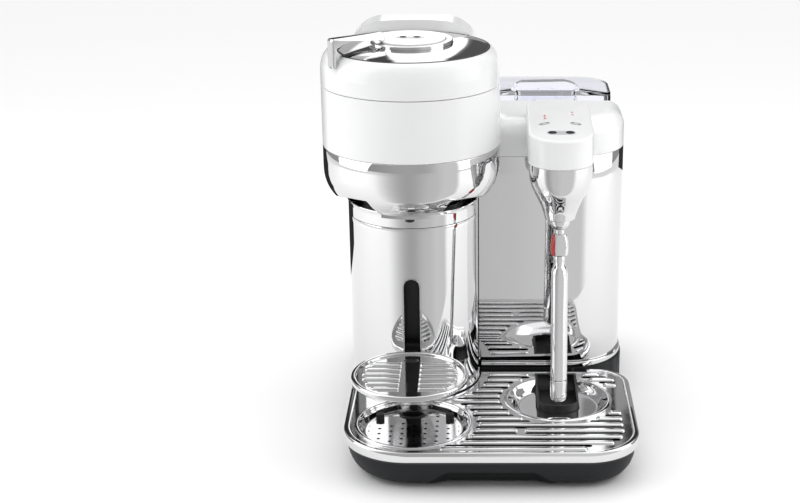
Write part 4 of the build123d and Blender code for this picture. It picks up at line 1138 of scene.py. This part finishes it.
def makeTankLid():
    # a slab from its outline to a round rim, the round dish inside it, and half a flattened ring as the
    # handle
    low, top = tankHigh[2] + 0.3, tankHigh[2] + 3.3
    flat = tankOutline(0.0)
    angles = np.unwrap(np.arctan2(flat[:, 1] - tankCentre[1], flat[:, 0] - tankCentre[0]))

    def ring(radius, height):
        return np.column_stack([tankCentre[0] + radius * np.cos(angles),
                                tankCentre[1] + radius * np.sin(angles),
                                np.full(len(angles), height)])

    def edge(inset, height):
        return np.column_stack([tankOutline(inset), np.full(len(angles), height)])

    radius, rim = tank["recess"], tank["rim"]
    deep = tankHigh[2] - tank["recessDeep"]
    rows = [ring(radius - 2, deep - 2), ring(radius, deep - 1.6), ring(radius, low - 0.4),
            ring(radius + 0.4, low),
            edge(0.6, low), edge(0.0, low + 0.6), edge(0.0, top - 1.2), edge(0.35, top - 0.35),
            edge(1.2, top),
            ring(radius + 0.3, top), ring(radius, top + 0.2), ring(radius - rim + 0.3, top + 0.2),
            ring(radius - rim, top - 0.2), ring(radius - rim, deep + 1.0), ring(radius - rim - 1.0, deep)]
    turned = np.linspace(0, math.pi, 40)[:, None]
    around = np.linspace(0, 2 * math.pi, 24, endpoint=False)[None]
    across = np.sign(np.cos(around)) * np.abs(np.cos(around)) ** 0.6 * 2.2
    along = np.sign(np.sin(around)) * np.abs(np.sin(around)) ** 0.6 * 2.9
    reach = 11.7 + across
    arch = np.stack(np.broadcast_arrays(tankCentre[0] + reach * np.cos(turned),
                                        tankCentre[1] + along + 0.0 * turned,
                                        deep + 4.3 + reach * np.sin(turned)), axis=-1)
    foot = arch[:1] - np.array([0, 0, 4.6])
    lastFoot = arch[-1:] - np.array([0, 0, 4.6])
    handle = closeUp(np.concatenate([foot, arch, lastFoot]))
    makePiece("tankLidSkin", [(closeUp(np.stack(rows)), False, True), (handle, False, True)], "clear_tank",
              "tank_cover", ["tank_lid"], 40.0)


makeTower()
makeFeet()
makeSteamBody()
makeCap()
makeWand()
makeGrip()
makeMarks()
makeTank()
makeTankLid()
for pieceName, node, bodyName in (
        ("hingeCowlSkin", "hinge_cowl", "lid"), ("rearCoverSkin", "rear_cover", "base"),
        ("rearShellSkin", "rear_shell", "base"), ("baseHousingSkin", "base_housing", "base"),
        ("purgeWellSkin", "purge_well", "tray")):
    smoothCopy(pieceName, node, bodyName)
print("tower, steam head, wand and tank made")
studio = {"floorColor": (0.86, 0.86, 0.86), "worldStrength": 0.36, "sidePower": 8.0, "overheadStrength": 2.3}
# name, left, right, depth, bottom, top, shade and edge softness of the cards that only the gloss sees
studioCards = [
    ("columnCard", -0.24, 0.10, -0.210, 0.030, 0.80, 0.46, 1.0),
    ("towerCard", -0.06, 0.30, -0.215, 0.030, 0.80, 0.74, 0.6),
    ("leftRearCard", -0.42, -0.150, 0.23, 0.06, 0.42, 0.03, 0.10),
    ("rightRearCard", 0.165, 0.42, 0.23, 0.19, 0.42, 0.04, 0.10),
    ("leftDomeCard", -0.45, -0.120, 0.40, 0.43, 0.95, 0.08, 0.12),
    ("fanCard", -0.135, 0.000, 0.42, 0.43, 0.95, 1.50, 0.10),
    ("rightDomeCard", -0.010, 0.300, 0.40, 0.43, 0.95, 0.10, 0.12)]


def makeFloor():
    # one large flat sheet
    mesh = bpy.data.meshes.new("studioFloor")
    mesh.from_pydata([(-8, -8, 0), (8, -8, 0), (8, 8, 0), (-8, 8, 0)], [], [(0, 1, 2, 3)])
    floor = bpy.data.objects.new("studioFloor", mesh)
    bpy.context.scene.collection.objects.link(floor)
    material, tree, shader = startMaterial("studioPaper")
    shader.inputs["Base Color"].default_value = (*studio["floorColor"], 1)
    shader.inputs["Roughness"].default_value = 0.8
    shader.inputs["Specular IOR Level"].default_value = 0.1
    mesh.materials.append(material)


def makeCard(name, left, right, depth, bottom, top, shade, softness):
    # an upright sheet of even grey with soft sides, seen by reflections and by nothing else
    mesh = bpy.data.meshes.new(name)
    mesh.from_pydata([(left, depth, bottom), (right, depth, bottom), (right, depth, top),
                      (left, depth, top)], [],
                     [(0, 1, 2, 3)])
    card = bpy.data.objects.new(name, mesh)
    bpy.context.scene.collection.objects.link(card)
    material = bpy.data.materials.new(name + "Grey")
    material.use_nodes = True
    tree = material.node_tree
    tree.nodes.clear()
    coords = addNode(tree, "ShaderNodeTexCoord", (-900, 0))
    axes = addNode(tree, "ShaderNodeSeparateXYZ", (-700, 0))
    fromMiddle = addNode(tree, "ShaderNodeMath", (-520, 0), operation="SUBTRACT")
    fromMiddle.inputs[1].default_value = (left + right) / 2
    spread = addNode(tree, "ShaderNodeMath", (-360, 0), operation="ABSOLUTE")
    edge = addNode(tree, "ShaderNodeMapRange", (-200, 0), interpolation_type="SMOOTHSTEP")
    half = (right - left) / 2
    edge.inputs["From Min"].default_value = half * (1 - softness)
    edge.inputs["From Max"].default_value = half
    clear = addNode(tree, "ShaderNodeBsdfTransparent", (0, -120))
    grey = addNode(tree, "ShaderNodeEmission", (0, 80))
    grey.inputs["Color"].default_value = (shade, shade, shade, 1)
    blend = addNode(tree, "ShaderNodeMixShader", (220, 0))
    end = addNode(tree, "ShaderNodeOutputMaterial", (420, 0))
    link = tree.links.new
    link(coords.outputs["Object"], axes.inputs[0])
    link(axes.outputs["X"], fromMiddle.inputs[0])
    link(fromMiddle.outputs[0], spread.inputs[0])
    link(spread.outputs[0], edge.inputs["Value"])
    link(edge.outputs["Result"], blend.inputs[0])
    link(grey.outputs[0], blend.inputs[1])
    link(clear.outputs[0], blend.inputs[2])
    link(blend.outputs[0], end.inputs["Surface"])
    mesh.materials.append(material)
    card.visible_camera = False
    card.visible_diffuse = False
    card.visible_transmission = False
    card.visible_volume_scatter = False
    card.visible_shadow = False


def makePanel(name, place, aim, size, power):
    # a rectangular lamp turned to its aim
    light = bpy.data.lights.new(name, "AREA")
    light.shape = "RECTANGLE"
    light.size, light.size_y = size
    light.energy = power
    lamp = bpy.data.objects.new(name, light)
    lamp.location = place
    direction = np.array(aim) - np.array(place)
    lamp.rotation_euler = (math.atan2(math.hypot(direction[0], direction[1]), -direction[2]), 0,
                           math.atan2(direction[1], direction[0]) - math.pi / 2)
    bpy.context.scene.collection.objects.link(lamp)


def makeOverhead():
    # one very wide lamp straight above, so that the shadow under the machine stays faint
    light = bpy.data.lights.new("overheadLamp", "SUN")
    light.energy = studio["overheadStrength"]
    light.angle = math.radians(100)
    lamp = bpy.data.objects.new("overheadLamp", light)
    lamp.rotation_euler = (math.radians(-12), 0, 0)
    bpy.context.scene.collection.objects.link(lamp)


def makeWorld():
    # even white surroundings
    world = bpy.data.worlds.new("studioWorld")
    bpy.context.scene.world = world
    world.use_nodes = True
    back = world.node_tree.nodes["Background"]
    back.inputs["Color"].default_value = (1, 1, 1, 1)
    back.inputs["Strength"].default_value = studio["worldStrength"]


def makeCamera():
    # the camera looks down on the front of the machine
    data = bpy.data.cameras.new("viewCamera")
    data.lens = 70.15
    data.sensor_width = 36.0
    data.shift_x = -0.1113
    data.shift_y = 0.0085
    data.dof.use_dof = False
    camera = bpy.data.objects.new("viewCamera", data)
    camera.location = (0.0089, -1.4875, 0.6854)
    camera.rotation_euler = (math.radians(90 - 19.3), 0, 0)
    bpy.context.scene.collection.objects.link(camera)
    bpy.context.scene.camera = camera


makeFloor()
makeWorld()
makeCamera()
for cardValues in studioCards:
    makeCard(*cardValues)
makePanel("leftPanel", (-1.25, -0.30, 0.75), (0, 0, 0.2), (1.2, 1.3), studio["sidePower"])
makePanel("rightPanel", (1.25, -0.30, 0.75), (0, 0, 0.2), (1.2, 1.3), studio["sidePower"])
makeOverhead()
bpy.context.scene.view_settings.view_transform = "Standard"
print("studio made")

print("scene finished")
